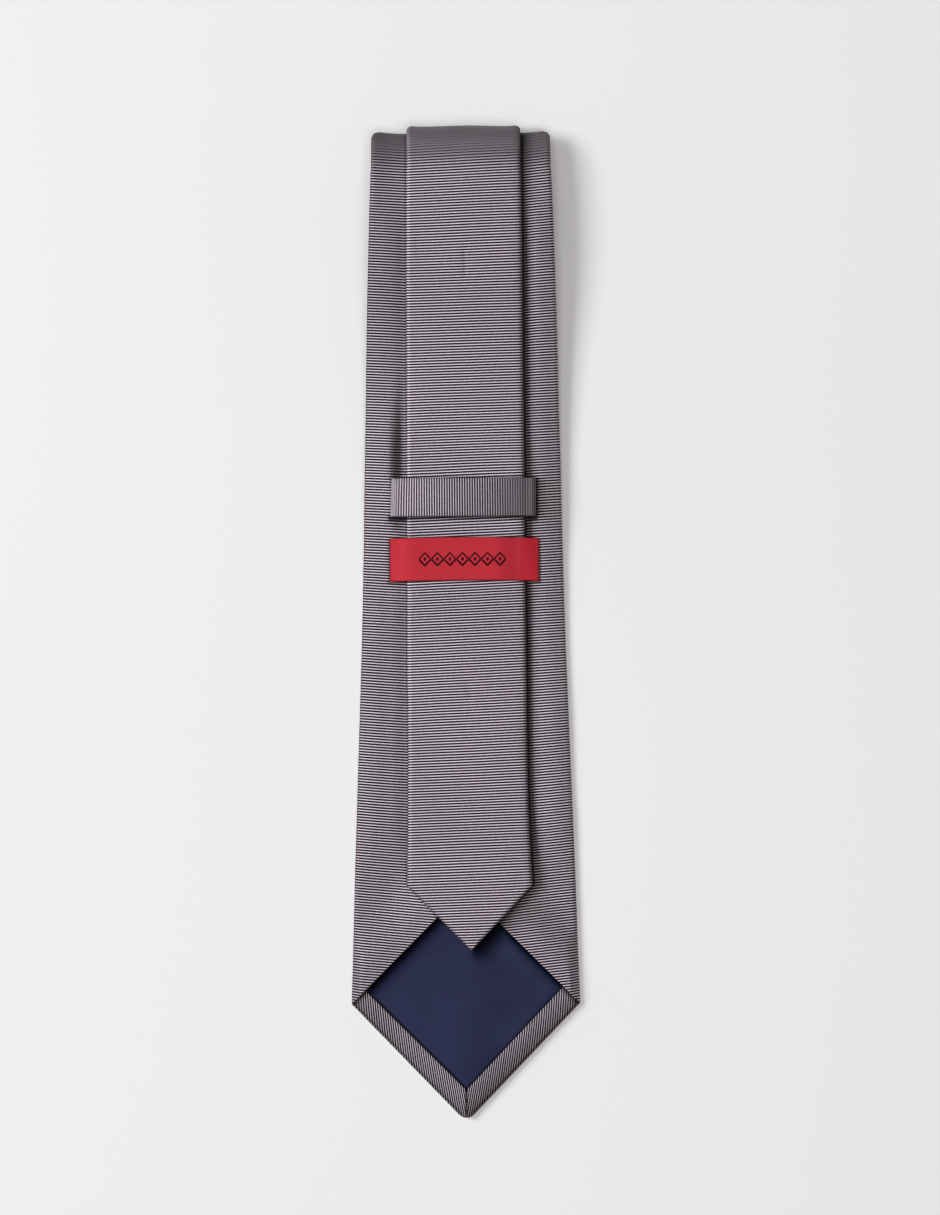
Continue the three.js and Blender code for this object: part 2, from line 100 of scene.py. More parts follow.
# ------------------------------------------------------------------ helpers
def smooth(a, b, v):
    t = np.clip((np.asarray(v, float) - a) / (b - a), 0, 1)
    return t * t * (3 - 2 * t)


def curve(xs, ys):
    """A monotone cubic through named rows."""
    xs = np.array(xs, float)
    ys = np.array(ys, float)
    h = np.diff(xs)
    d = np.diff(ys) / h
    m = np.zeros_like(ys)
    m[0], m[-1] = d[0], d[-1]
    both = d[:-1] * d[1:] > 0
    m[1:-1][both] = 2 * (d[:-1] * d[1:])[both] / (d[:-1] + d[1:])[both]

    def at(x):
        x = np.clip(np.asarray(x, float), xs[0], xs[-1])
        i = np.clip(np.searchsorted(xs, x, side="right") - 1, 0, len(h) - 1)
        t = (x - xs[i]) / h[i]
        return (
            (2 * t**3 - 3 * t**2 + 1) * ys[i]
            + (t**3 - 2 * t**2 + t) * h[i] * m[i]
            + (-2 * t**3 + 3 * t**2) * ys[i + 1]
            + (t**3 - t**2) * h[i] * m[i + 1]
        )

    return at


W_T = [r[0] for r in WIDE]
wide_half_up = curve(W_T, [r[1] for r in WIDE])
wide_back_mid = curve(W_T, [r[2] for r in WIDE])
wide_droop = curve(W_T, [r[3] for r in WIDE])
N_T = [r[0] for r in NARROW]
narrow_half_up = curve(N_T, [r[1] for r in NARROW])
NT_ALL = [r[0] for r in NARROW_TIP] + N_T
narrow_clear = curve(NT_ALL, [r[1] for r in NARROW_TIP] + [r[2] for r in NARROW])
narrow_shift = curve(NT_ALL, [r[2] for r in NARROW_TIP] + [r[3] for r in NARROW])


def tip_half(t, blunt, corner, at_corner):
    """Half width of a point that is cut blunt and rounded at its very end."""
    t = np.asarray(t, float)
    line = blunt + t * (at_corner - blunt) / corner
    return line - (blunt * 0.55) * np.clip(1 - t / 0.9, 0, 1) ** 2


def wide_half(t):
    return np.where(t < WIDE_CORNER, tip_half(t, 1.5, WIDE_CORNER, 35.25), wide_half_up(t))


def narrow_half(t):
    return np.where(t < 19.7, tip_half(t, 0.35, 19.7, 19.4), narrow_half_up(t))


def droop_shape(x):
    return smooth(17, 30, np.abs(x))


def dents(x, y):
    """Soft dips of the wide blade's back: beside the loop's end, and slow waves of the cloth."""
    by_loop = 1.25 * np.exp(-(((x + 20.1) / 1.7) ** 2)) * smooth(72, 50, y) * smooth(40.5, 44.5, y)
    under_loop = 0.35 * np.exp(-(((x + 20.0) / 2.0) ** 2)) * smooth(30, 34, y) * smooth(41, 37, y)
    waves = (
        0.10 * np.sin(0.071 * y + 0.09 * x + 0.6) * np.sin(0.113 * x - 0.031 * y + 1.1)
        + 0.06 * np.sin(0.19 * y - 0.13 * x + 2.0)
    ) * smooth(8, 26, np.abs(x))
    return by_loop + under_loop + waves * smooth(-150, -60, y)


def puff(x, y):
    """The flaps stand up a little beside the narrow blade that presses on them."""
    x = np.asarray(x, float)
    y = np.asarray(y, float)
    tn = y - NARROW_TIP_Y
    mid = narrow_shift(tn)
    reach = np.where(tn < 19.7, 0.0, narrow_half_up(tn))
    off = np.abs(x - mid) - reach
    half = wide_half_up(y - TIP_Y)
    out = smooth(-0.4, 5.0, off) * smooth(half - 0.2, half - 5.5, np.abs(x))
    groove = np.where(x > mid, 0.38, 0.08) * np.exp(-(((off - 0.7) / 1.1) ** 2))
    return (0.75 * out - groove) * smooth(-84, -62, y) * smooth(W_TURN, W_TURN - 25, y)


def wide_back(x, y):
    x = np.asarray(x, float)
    y = np.asarray(y, float)
    t = y - TIP_Y
    return wide_back_mid(t) - wide_droop(t) * droop_shape(x) - dents(x, y) + puff(x, y)


def beside(d, places, values):
    """A soft painted darkening next to a raised edge, d away from it; values above 1 give a painted highlight."""
    return np.interp(d, places, values)


def wide_shade(x, y):
    """Painted shade for the wide blade's back, multiplied into the cloth's colour: how much light reaches it beside
    what lies on it, and the flaps darker where they face away from the light.
    """
    x = np.asarray(x, float)
    y = np.broadcast_to(np.asarray(y, float), x.shape)
    tn = y - NARROW_TIP_Y
    mid = narrow_shift(np.maximum(tn, 0))
    reach = np.where(tn < 19.7, narrow_half(np.clip(tn, 0, 19.7)), narrow_half_up(tn))
    right = x - mid - reach
    left = mid - reach - x
    low = smooth(18.0, 6.0, tn)
    r = beside(right, [-1.5, 0.45, 0.8, 1.2, 1.9, 2.4, 3.0, 3.6, 4.2, 5.2], [0.05, 0.05, 0.28, 0.44, 0.55, 0.62, 0.73, 0.84, 0.93, 1.0])
    l = beside(left, [-1.5, 0.15, 0.4, 0.7], [0.40, 0.50, 0.90, 1.0])
    tip_r = beside(right, [-1, 0.4, 1.5, 4.0, 7.5, 11.0], [0.06, 0.09, 0.24, 0.57, 0.86, 1.0])
    tip_l = beside(left, [-1.5, 0.2, 0.5, 0.9], [0.18, 0.24, 0.75, 1.0])
    by_narrow = np.where(x > mid, r * (1 - low) + low * tip_r, l * (1 - low) + low * tip_l)
    by_narrow = np.where(tn > -1.0, by_narrow, 1.0)
    # painted shadow beside the loop's right end and under its lower edge
    in_loop = smooth(31.9, 33.2, y) * smooth(45.2, 44.0, y)
    by_loop = 1 - in_loop * (1 - beside(x - 22.3, [-1, 0.7, 1.1, 2.2], [0.05, 0.08, 0.5, 1.0])) * (x > 15)
    across = smooth(-23.6, -22.6, x) * smooth(23.6, 22.6, x)
    under = 1 - across * (1 - beside(32.45 - y, [-0.6, -0.4, 0.7, 1.3, 2.0], [1.0, 0.06, 0.08, 0.50, 1.0])) * (y < 33.0)
    # painted shade in the dip left of the narrow blade above the loop, and below the loop's left end
    by_loop = by_loop * (1 - 0.84 * np.exp(-(((x + 19.6) / (1.2 + 0.5 * smooth(70, 50, y))) ** 2)) * smooth(80, 56, y) * smooth(42.5, 45.0, y))
    by_loop = by_loop * (1 - 0.55 * np.exp(-(((x + 20.6) / 1.8) ** 2)) * smooth(26.5, 31, y) * smooth(33.5, 32.5, y))
    # painted shadow beside the label's ends and under its lower edge
    span = smooth(-24.2, -23.3, x - 0.35) * smooth(24.2, 23.3, x - 0.35)
    low_label = 1 - span * (1 - beside(12.75 - y, [-0.5, -0.3, 0.3, 0.8, 1.3], [1.0, 0.2, 0.25, 0.65, 1.0])) * (y < 13.2)
    side = smooth(12.2, 13.2, y) * smooth(26.4, 25.6, y)
    ends = 1 - side * (1 - beside(np.abs(x - 0.35) - 22.9, [-1, 0.2, 0.6, 1.0], [0.3, 0.35, 0.7, 1.0])) * (np.abs(x) > 15)
    # painted shade: the left flap darker, more towards the top, the right flap a little darker near the tip and the
    # top, from how they face the light
    flap_shade = np.where(x < 0, np.interp(y, [60, 105, 135], [0.87, 0.75, 0.72]) + 0.11 * smooth(-25, -19, x), np.interp(y, [-90, -50, 80, 120], [0.86, 0.97, 0.97, 0.93]))
    return flap_shade * np.minimum.reduce([by_narrow, by_loop, under, low_label, ends])


def narrow_shade(x, y, half):
    """Painted shade and a painted highlight for the narrow blade's front, as for the wide blade; x from its own middle.
    """
    x = np.asarray(x, float)
    y = np.broadcast_to(np.asarray(y, float), x.shape)
    # painted shade along the right edge, fading out towards the tip
    edge = beside(half - x, [-0.1, 0.2, 0.7, 1.3, 2.2, 3.2], [0.25, 0.50, 0.74, 0.82, 0.93, 1.0]) * smooth(NARROW_TIP_Y + 8, NARROW_TIP_Y + 22, y)
    edge = edge + 1 - smooth(NARROW_TIP_Y + 8, NARROW_TIP_Y + 22, y)
    # painted highlight along the left edge
    lit = beside(half + x, [-0.1, 0.25, 0.8, 1.6], [1.15, 1.35, 1.2, 1.0])
    edge = edge * (1 + (lit - 1) * smooth(NARROW_TIP_Y + 18, NARROW_TIP_Y + 30, y))
    # painted shadow beside the loop's and the label's edges
    under = 1 - (1 - beside(32.45 - y, [-0.6, -0.4, 0.3, 0.8, 1.4], [1.0, 0.15, 0.22, 0.6, 1.0])) * (y < 33.0)
    over = 1 - (1 - beside(y - 44.75, [-0.4, -0.2, 0.1, 0.5], [1.0, 0.5, 0.6, 1.0])) * (y > 44.3)
    low_label = 1 - (1 - beside(12.95 - y, [-0.5, -0.3, 0.1, 0.6], [1.0, 0.35, 0.5, 1.0])) * (y < 13.4)
    top_label = 1 - (1 - beside(y - 26.25, [-0.4, -0.2, 0.1, 0.5], [1.0, 0.4, 0.55, 1.0])) * (y > 25.7)
    # painted shade in the two small dents
    crease_shade = 0.20 * np.exp(-(((x + 0.1) / 0.5) ** 2)) * smooth(104.5, 106.5, y) * smooth(116, 113, y)
    crease_shade = crease_shade + 0.20 * np.exp(-(((x - 0.4) / 0.5) ** 2)) * smooth(-23.6, -22.4, y) * smooth(-19.6, -20.8, y)
    return 0.97 * edge * (1 - crease_shade) * np.minimum.reduce([under, over, low_label, top_label])


def wide_lift(x, t, half):
    """How far a flap stands over its plain level: it rides over the lining near the V."""
    q = (np.abs(x) - (WIDE_MOUTH - t)) / math.sqrt(2)
    rounded = smooth(0.2, 3.0, half - np.abs(x))
    lift = FLAP_LIFT * (1 - smooth(4, 17, q))
    return lift * rounded


def edge_round(q, r):
    """Height lost towards a folded edge, q away from it."""
    q = np.clip(q, 0, r)
    return r - np.sqrt(np.maximum(r * r - (r - q) ** 2, 0))


def build(name, rings, phases, across, flatten_and_painted_shade=None, caps=True, merge=2e-6):
    """A closed mesh from rows of the same number of points, in mm."""
    rings = np.array(rings, float)
    rings[..., 2] = np.maximum(rings[..., 2], 0.01)   # cloth lies flat where it meets the surface
    rows, n = rings.shape[:2]
    verts = rings.reshape(-1, 3) * MM
    i = np.arange(rows - 1)[:, None] * n
    j = np.arange(n)[None, :]
    k = (j + 1) % n
    quads = np.stack([i + j, i + n + j, i + n + k, i + k], axis=-1).reshape(-1, 4)
    faces = quads.tolist()
    if caps:
        faces.append(list(range(n)))
        faces.append(list(range((rows - 1) * n, rows * n))[::-1])
    mesh = bpy.data.meshes.new(name)
    mesh.from_pydata(verts.tolist(), [], faces)
    data = np.zeros((len(verts), 3))
    data[:, 0] = np.asarray(across, float).reshape(-1)
    data[:, 1] = np.asarray(phases, float).reshape(-1)
    att = mesh.attributes.new("cloth", "FLOAT_VECTOR", "POINT")
    att.data.foreach_set("vector", data.reshape(-1))
    # second attribute per point: how far the ribs' contrast is flattened, towards what, and painted shade or highlight
    # multiplied into the colour (1 = none)
    flatten_and_shade = np.tile([0.0, 0.52, 1.0], (len(verts), 1)) if flatten_and_painted_shade is None else np.asarray(flatten_and_painted_shade, float).reshape(-1, 3)
    att = mesh.attributes.new("flatten_and_painted_shade", "FLOAT_VECTOR", "POINT")
    att.data.foreach_set("vector", flatten_and_shade.reshape(-1))
    bm = bmesh.new()
    bm.from_mesh(mesh)
    bmesh.ops.remove_doubles(bm, verts=bm.verts, dist=merge)
    bmesh.ops.dissolve_degenerate(bm, dist=1e-7, edges=bm.edges)
    bmesh.ops.recalc_face_normals(bm, faces=bm.faces)
    bm.to_mesh(mesh)
    bm.free()
    mesh.shade_smooth()
    mesh.set_sharp_from_angle(angle=math.radians(50))
    obj = bpy.data.objects.new(name, mesh)
    bpy.context.scene.collection.objects.link(obj)
    return obj


# ------------------------------------------------------------------ cross-sections
BOTTOM = np.array([0, 0.022, 0.045, 0.1, 0.22, 0.34, 0.46, 0.58, 0.69, 0.78, 0.84, 0.885, 0.92, 0.95, 0.975, 1.0])
ARC = np.radians(np.linspace(-90, 90, 13)[1:-1])
TOPF = np.array([0, 0.05, 0.12, 0.2, 0.29, 0.38, 0.48, 0.58, 0.68, 0.77, 0.85])


FINE_Y = np.concatenate([np.arange(a, b, 0.27) for a, b in ((31.0, 33.3), (43.9, 45.6), (11.6, 13.5), (25.6, 26.9))])


def towards(start, end, focus=None):
    """Points from start to end, closer together by the end and round focus, and their distance from it."""
    total = start - end
    far = total * (1 - TOPF)
    if focus is not None:
        x = np.linspace(start, end + min(1.6, 0.3 * total), 240)
        dense = 0.30 + 2.2 * np.exp(-(((x - focus - 1.3) / 1.9) ** 2))
        dense = dense + 0.9 * np.exp(-(((x - 22.7) / 0.9) ** 2)) * float(smooth(20.8, 19.2, focus))
        way = np.concatenate([[0], np.cumsum((dense[1:] + dense[:-1]) / 2)])
        far = np.interp(np.linspace(0, 1, 34), way / way[-1], x) - end
    near = [min(a, f * total) for a, f in ((1.1, 0.12), (0.6, 0.08), (0.3, 0.05), (0.12, 0.03), (0.03, 0.01), (0.0, 0.0))]
    q = np.concatenate([far, near])
    return end + q, q


def hem_swell(x, t):
    """The turned-up hem is padded: it swells between its folded and its cut edge."""
    across = np.clip((t - np.abs(x)) / HEM, 0, 1)
    return 0.38 * np.sqrt(np.maximum(0, 1 - (2 * across - 1) ** 2)) - 0.12


def half_section(half, thick, wall, flap_in, step, lift, hem_lift, t, front_phase, flap_phase, hem_phase, edge=1.35, focus=18.0):
    """Half of a blade's cross-section: x, n from the front face, and the rib phase there.

    From the middle of the front, round the folded edge, over the flap to step,
    down to the hem, over the hem to flap_in, and back inside."""
    e = min(edge, half * 0.45)
    inside = half - e
    step = min(step, inside)
    flap_in = min(flap_in, step)
    xs, ns, ph = [], [], []

    def add(x, n, p):
        x = np.atleast_1d(np.asarray(x, float))
        n = np.broadcast_to(np.asarray(n, float), x.shape)
        p = np.broadcast_to(np.asarray(p, float), x.shape)
        xs.append(x)
        ns.append(n)
        ph.append(p)

    x = inside * BOTTOM
    add(x, 0, front_phase(x, t))
    x = inside + e * np.cos(ARC)
    n = thick / 2 * (1 + np.sin(ARC))
    add(x, n + lift(x) * (n / thick), np.where(ARC < 0, front_phase(x, t), flap_phase(x, t)))
    x, q = towards(inside, step, focus)
    r = min(0.42, wall * 0.8)
    add(x, thick + lift(x) - edge_round(q, r), flap_phase(x, t))
    has_hem = flap_in < step - 1e-6
    if has_hem:
        x, q = towards(step, flap_in)
        add(x, thick + hem_lift + hem_swell(x, t) - edge_round(q, r * 0.8), hem_phase(x, t))
        end_lift, end_phase = hem_lift, hem_phase
    else:
        x = np.full(len(TOPF) + 6, flap_in)
        low = thick - 0.5 * wall + lift(flap_in)
        add(x, low, flap_phase(x, t))
        end_lift, end_phase = float(lift(flap_in)), flap_phase
    g = np.array([0, 0.15, 0.4, 0.7, 1.0])
    x = flap_in + g * (inside - flap_in)
    under = lift(x) if not has_hem else np.maximum(np.where(x > step, lift(x), hem_lift), hem_lift)
    add(x, thick - wall + (under if has_hem else lift(x)), end_phase(x, t))
    add([inside + 0.35 * e], thick / 2, front_phase(inside, t))
    x = inside * BOTTOM[::-1]
    add(x, wall, front_phase(x, t))
    return np.concatenate(xs), np.concatenate(ns), np.concatenate(ph)


def whole_section(x, n, p, left_p=None, left=None):
    """Mirrors half a section into a whole ring. The middle points are shared."""
    gx, gn = (x, n) if left is None else left
    lx, ln, lp = -gx[1:-1][::-1], gn[1:-1][::-1], (p if left_p is None else left_p)[1:-1][::-1]
    return np.concatenate([x, lx]), np.concatenate([n, ln]), np.concatenate([p, lp])


# ------------------------------------------------------------------ routes
A2_MID = NECK + GAP + NECK / 2
A1_MID = NECK / 2
WR = (TOP_BACK - BLADE / 2 - A2_MID) / 2
FOLD_REACH = 11.0
W_TURN = WIDE_FOLD_Y - FOLD_REACH - (BLADE + NECK) / 4
FOLD_ROWS = 44


def fold_row(f):
    """A place on the wide blade's soft top fold: y, z and the outward normal."""
    ang = math.pi * (0.5 - f)
    ny, nz = math.cos(ang) / FOLD_REACH, math.sin(ang) / WR
    l = math.hypot(ny, nz)
    return W_TURN + FOLD_REACH * math.cos(ang), (TOP_BACK - BLADE / 2 + A2_MID) / 2 + WR * math.sin(ang), ny / l, nz / l


def fold_space(f):
    top, low, mid = BLADE + GAP, A2_MID - A1_MID, NARROW_FOLD_Y - WIDE_FOLD_Y
    return top + f * (low - top) + 4 * f * (1 - f) * (mid - (top + low) / 2)


def fold_corner(y, end, r):
    """How far an edge draws in at the corner of a fold that ends at end."""
    d = max(0.0, min(r, end - y))
    return r - math.sqrt(max(0.0, r * r - (r - d) ** 2))


def run_normals(ys, zs):
    dy = np.gradient(ys)
    dz = np.gradient(zs)
    l = np.hypot(dy, dz)
    return -dz / l, dy / l


SLOPE_T = [0.0, 60.0, 90.0, 130.0, 170.0, 210.0, 260.0, 300.0]
SLOPES = {
    -1: curve(SLOPE_T, [0.098, 0.096, 0.088, 0.074, 0.060, 0.052, 0.058, 0.075]),
    1: curve(SLOPE_T, [0.112, 0.110, 0.104, 0.080, 0.060, 0.066, 0.085, 0.11]),
}


def slope(side, t=0.0):
    """How much the ribs of a flap climb towards the middle."""
    return float(SLOPES[side](t))


def wide_blade():
    ts = np.unique(np.concatenate([
        [0, 0.12, 0.3, 0.55, 0.9, 1.4], np.arange(2, WIDE_MOUTH + 8, 0.62),
        [8.63, 8.76, 9.0, 35.0, 35.2, 35.4, 36.55, 39.54, 40.37], [70.0, 70.3, 70.45, 70.6],
        np.arange(79, W_TURN - TIP_Y, 1.3), [W_TURN - TIP_Y - 0.6],
        FINE_Y - TIP_Y,
    ]))
    ts = ts[np.concatenate([[True], np.diff(ts) > 0.08])]
    ys = TIP_Y + ts
    zs = wide_back_mid(ts) - BLADE / 2
    ny, nz = run_normals(ys, zs)
    rows, ph, ac, pr = [], [], [], []

    def front(x, t):
        return t / PITCH + 0 * x

    def hem(x, t):
        deep = np.clip(np.abs(x) + HEM - t, 0, HEM)
        return (np.abs(x) - 1.5 + np.interp(np.abs(x), [0, 35], [0.22, 0.06]) * deep) / 0.770

    def place(x, n, p, y, z, oy, oz, thick, fold_w=0.0, half=28.0, skew=0.0, drop=True):
        off = n - thick / 2
        Y = y + off * oy + skew * x
        Y = Y + 0.9 * fold_w * (np.abs(x) / half) ** 5 * abs(oy) ** 2
        Z = z + off * oz
        if drop:
            Z = Z - wide_droop(y - TIP_Y) * droop_shape(x) - dents(x, y) * min(1.0, max(0.0, (W_TURN - y) / 12.0))
            Z = Z + puff(x, y) * (n > thick * 0.45)
        rows.append(np.stack([x, Y, Z], axis=-1))
        ph.append(p)
        ac.append(x)
        # on the bend the ribs lie flat and their contrast is flattened, and painted shade darkens the fold where it
        # turns from the light; the hem's ribs are flattened a little and the hem is darker, partly its pressed cloth
        # and partly painted shade, more on the left and less towards its cut edge
        bend = np.interp(Y, [135.8, 139.6, 143.2, 147.0], [0, 0.20, 0.62, 0.98])
        painted_light = np.interp(Y, [134.5, 138.5, 142.5, 147.0, 150.0], [1, 0.95, 0.84, 0.73, 0.70])
        t = y - TIP_Y
        on_hem = (np.abs(x) < WIDE_MOUTH - t - 0.02) * (n > thick * 0.8) if drop and t < 40 else np.zeros_like(x)
        if drop and t <= WIDE_CORNER:
            on_hem = (n > thick * 0.6) * 1.0
        flat = np.maximum(0.95 * bend, 0.10 * on_hem)
        across = np.clip((t - np.abs(x)) / HEM, 0, 1)
        value = painted_light * (1 - on_hem * (np.where(x < 0, 0.43, 0.57) - 0.30 * across)) * np.where(n > thick * 0.5, 0.97, 1.0)
        if drop:
            # painted shade beside the narrow blade, the loop and the label, and on the flaps
            value = value * np.where(n > thick * 0.5, wide_shade(x, np.minimum(Y, 139.0)), 1.0)
            value = value * (1 - 0.75 * on_hem * smooth(0.55, 0.15, np.abs(x)))
            # painted shadow on the hem along the flap's diagonal edge
            to_flap = (WIDE_MOUTH - t - np.abs(x)) / math.sqrt(2)
            value = value * np.where(on_hem > 0, beside(to_flap, [0.0, 0.45, 0.9, 1.9], [0.06, 0.10, 0.55, 1.0]), 1.0)
        # the fold's outer face gets the same painted shade
        elif oz > 0:
            value = value * np.where(n > thick * 0.5, wide_shade(x, np.full_like(x, 139.0)), 1.0)
        pr.append(np.stack([flat, np.full_like(x, 0.53), value], axis=-1))

    for t, y, z, a, b in zip(ts, ys, zs, ny, nz):
        half = float(wide_half(t))
        step = max(SEAM, WIDE_MOUTH - t)
        halves = []
        mouth = step
        over = y - NARROW_TIP_Y
        reach = float(narrow_half(max(over, 0.0)))
        lean = float(narrow_shift(max(over, 0.0)))
        for side in (1, -1):
            k = slope(side, t)
            flap_in = SEAM if t < HEM + SEAM * HEM_WIDER[side] else min((t - HEM) / HEM_WIDER[side], mouth)
            x, n, p = half_section(
                half, BLADE, 0.85, flap_in, step if t > WIDE_CORNER else 1e9,
                lambda x: wide_lift(x, t, half) if t > WIDE_CORNER else HEM_LIFT * smooth(0.2, 2.5, half - np.abs(x)),
                HEM_LIFT, t, front, lambda x, t, k=k: (t + k * (half - np.abs(x))) / PITCH, hem,
                focus=max(reach + side * lean, step + 2.6))
            if t <= WIDE_CORNER:
                # under the corners the whole turned-up edge is the hem
                m = n > BLADE * 0.55
                p = np.where(m, hem(x, t), p)
                n = np.where((n > BLADE - 0.6) & m, n, n)
            halves.append((x, n, p))
        x, n, p = whole_section(halves[0][0], halves[0][1], halves[0][2], halves[1][2], halves[1][:2])
        place(x, n, p, y, z, a, b, BLADE)

    length = W_TURN - TIP_Y
    last, s = (W_TURN, TOP_BACK - BLADE / 2), length
    for i in range(1, FOLD_ROWS + 1):
        f = i / FOLD_ROWS
        thick = BLADE + f * (NECK + 0.15 - BLADE)
        y, z, oy, oz = fold_row(f)
        s += math.hypot(y - last[0], z - last[1])
        last = (y, z)
        half = 27.6 - 0.35 * f - fold_corner(y + thick / 2 * oy, WIDE_FOLD_Y, 1.15) * oy
        hs = []
        for side in (1, -1):
            k = slope(side, 300)
            hs.append(half_section(half, thick, (thick - 0.3) / 2, SEAM, SEAM, lambda x: 0 * x, 0, s, front,
                                   lambda x, t, k=k: (t + k * (half - np.abs(x))) / PITCH, hem))
        x, n, p = whole_section(hs[0][0], hs[0][1], hs[0][2], hs[1][2])
        place(x, n, p, y, z, oy, oz, thick, fold_w=1.0, half=half, drop=False)
    base = s
    for back, half, thick, skew in ((13.5, 26.95, 1.42, 0.0), (17, 26.6, 1.36, 0.1), (22, 26.2, NECK, 0.25), (29, 25.6, NECK, 0.45), (36, 25.0, NECK, 0.7)):
        s = base + back - 12
        hs = []
        for side in (1, -1):
            k = slope(side)
            hs.append(half_section(half, thick, (thick - 0.2) / 2, SEAM, SEAM, lambda x: 0 * x, 0, s,
                                   lambda x, t, skew=skew: (t + skew * x * 0) / PITCH,
                                   lambda x, t, k=k: (t + k * (half - np.abs(x))) / PITCH, hem))
        x, n, p = whole_section(hs[0][0], hs[0][1], hs[0][2], hs[1][2])
        place(x, n, p, WIDE_FOLD_Y - back, A2_MID, 0, -1, thick, skew=-skew, drop=False)
    return build("wide_blade_cloth", rows, ph, ac, pr)


def narrow_sway(y):
    """The ribs of the narrow blade lean and wave a little."""
    return np.interp(y, [-100, -50, -20, 20, 60, 100, 125, 150, 200], [0.036, 0.042, 0.050, 0.046, 0.030, 0.028, 0.044, 0.052, 0.052])


def narrow_relief(x, y, half):
    """Small dents of the narrow blade's front."""
    crown = 0.45 * (1 - (x / half) ** 2) * np.where(y < 30, smooth(33, 18, y), smooth(47, 62, y)) * smooth(NARROW_TIP_Y, NARROW_TIP_Y + 22, y)
    first = 0.16 * np.exp(-((x / 0.7) ** 2)) * smooth(103.5, 107, y) * smooth(117, 112, y)
    second = 0.15 * np.exp(-(((x - 0.3) / 0.9) ** 2)) * smooth(-24.5, -22.5, y) * smooth(-18.5, -20.5, y)
    waves = 0.07 * np.sin(0.083 * y + 0.11 * x) + 0.05 * np.sin(0.21 * y - 0.08 * x + 1.0)
    edge = smooth(half, half - 4, np.abs(x)) * smooth(W_TURN, W_TURN - 20, y)
    return first + second + waves * edge - crown


def narrow_blade():
    end = W_TURN - NARROW_TIP_Y
    ts = np.unique(np.concatenate([
        [0, 0.12, 0.3, 0.55, 0.9, 1.4], np.arange(2, 24, 0.7), [19.4, 19.7, 20.0],
        np.arange(24, end - 0.5, 1.15), [end - 0.3],
        FINE_Y - NARROW_TIP_Y,
    ]))
    ts = ts[np.concatenate([[True], np.diff(ts) > 0.08])]
    ys = NARROW_TIP_Y + ts
    zs = wide_back_mid(ys - TIP_Y) + narrow_clear(ts) + BLADE / 2
    ny, nz = run_normals(ys, zs)
    rows, ph, ac, pr = [], [], [], []

    def front(x, t):
        return (t - narrow_sway(t + NARROW_TIP_Y) * x) / PITCH

    def flap(x, t):
        return (t + 0.03 * np.abs(x)) / PITCH

    def ring(s, half, thick, wall, y, z, oy, oz, shift, skew=0.0, fold_w=0.0, relief=False, crown=0.0):
        hx, hn, hp = half_section(half, thick, wall, SEAM, SEAM, lambda x: 0 * x, 0, s, front, flap, flap, edge=1.2)
        left = np.where(hn < thick / 2, (s - narrow_sway(s + NARROW_TIP_Y) * -hx) / PITCH, hp)
        x, n, p = whole_section(hx, hn, hp, left)
        off = thick / 2 - n
        if relief:
            off = off - narrow_relief(x, y, half) * (n < thick * 0.3)
        off = off + crown * (1 - (x / half) ** 2) * (n < thick * 0.3)
        Y = y + off * oy + skew * x + fold_w * (0.50 * (np.abs(x) / half) ** 12 + 0.28 * np.exp(-(((x - 1.0) / 7.5) ** 2))) * abs(oy) ** 2
        rows.append(np.stack([x + shift, Y, z + off * oz], axis=-1))
        ph.append(p)
        ac.append(x)
        # on the bend the ribs' contrast is flattened and painted shade darkens the fold; narrow_shade adds painted
        # shade and a painted highlight
        bend = np.interp(Y, [136.5, 140.5, 144.0, 147.8], [0, 0.2, 0.66, 1.0])
        painted_light = np.interp(Y, [136.8, 141.0, 145.0, 149.3, 152.3], [1, 0.95, 0.84, 0.73, 0.70])
        painted_light = painted_light * np.where(n < thick * 0.75, narrow_shade(x, Y, half), 1.0)
        pr.append(np.stack([0.95 * bend, np.full_like(x, 0.53), painted_light], axis=-1))

    for t, y, z, a, b in zip(ts, ys, zs, ny, nz):
        ring(t, float(narrow_half(t)), BLADE, 1.0, y, z, a, b, float(narrow_shift(t)), relief=True)
    s = end
    last = (W_TURN, TOP_BACK - BLADE / 2 + fold_space(0))
    for i in range(1, FOLD_ROWS + 1):
        f = i / FOLD_ROWS
        thick = BLADE + f * (NECK + 0.1 - BLADE)
        y, z, oy, oz = fold_row(f)
        y, z = y + oy * fold_space(f), z + oz * fold_space(f)
        s += math.hypot(y - last[0], z - last[1])
        last = (y, z)
        half = 17.55 - 0.15 * f - fold_corner(y + thick / 2 * oy, NARROW_FOLD_Y, 0.95) * oy
        ring(s, half, thick, (thick - 0.25) / 2, y, z, oy, oz, 0.85, fold_w=1.0, crown=0.45 * float(smooth(0.6, 0.1, f)))
    base = s
    for back, half, skew, shift in ((14, 17.25, 0, 0.8), (20, 17.1, 0.12, 0.7), (26, 17.0, 0.25, 0.6), (38, 16.9, 0.5, 0.45), (50, 16.8, 0.7, 0.3)):
        ring(base + back - 12, half, NECK, 0.55, WIDE_FOLD_Y - back, A1_MID, 0, -1, shift, skew=skew)
    return build("narrow_blade_cloth", rows, ph, ac, pr)


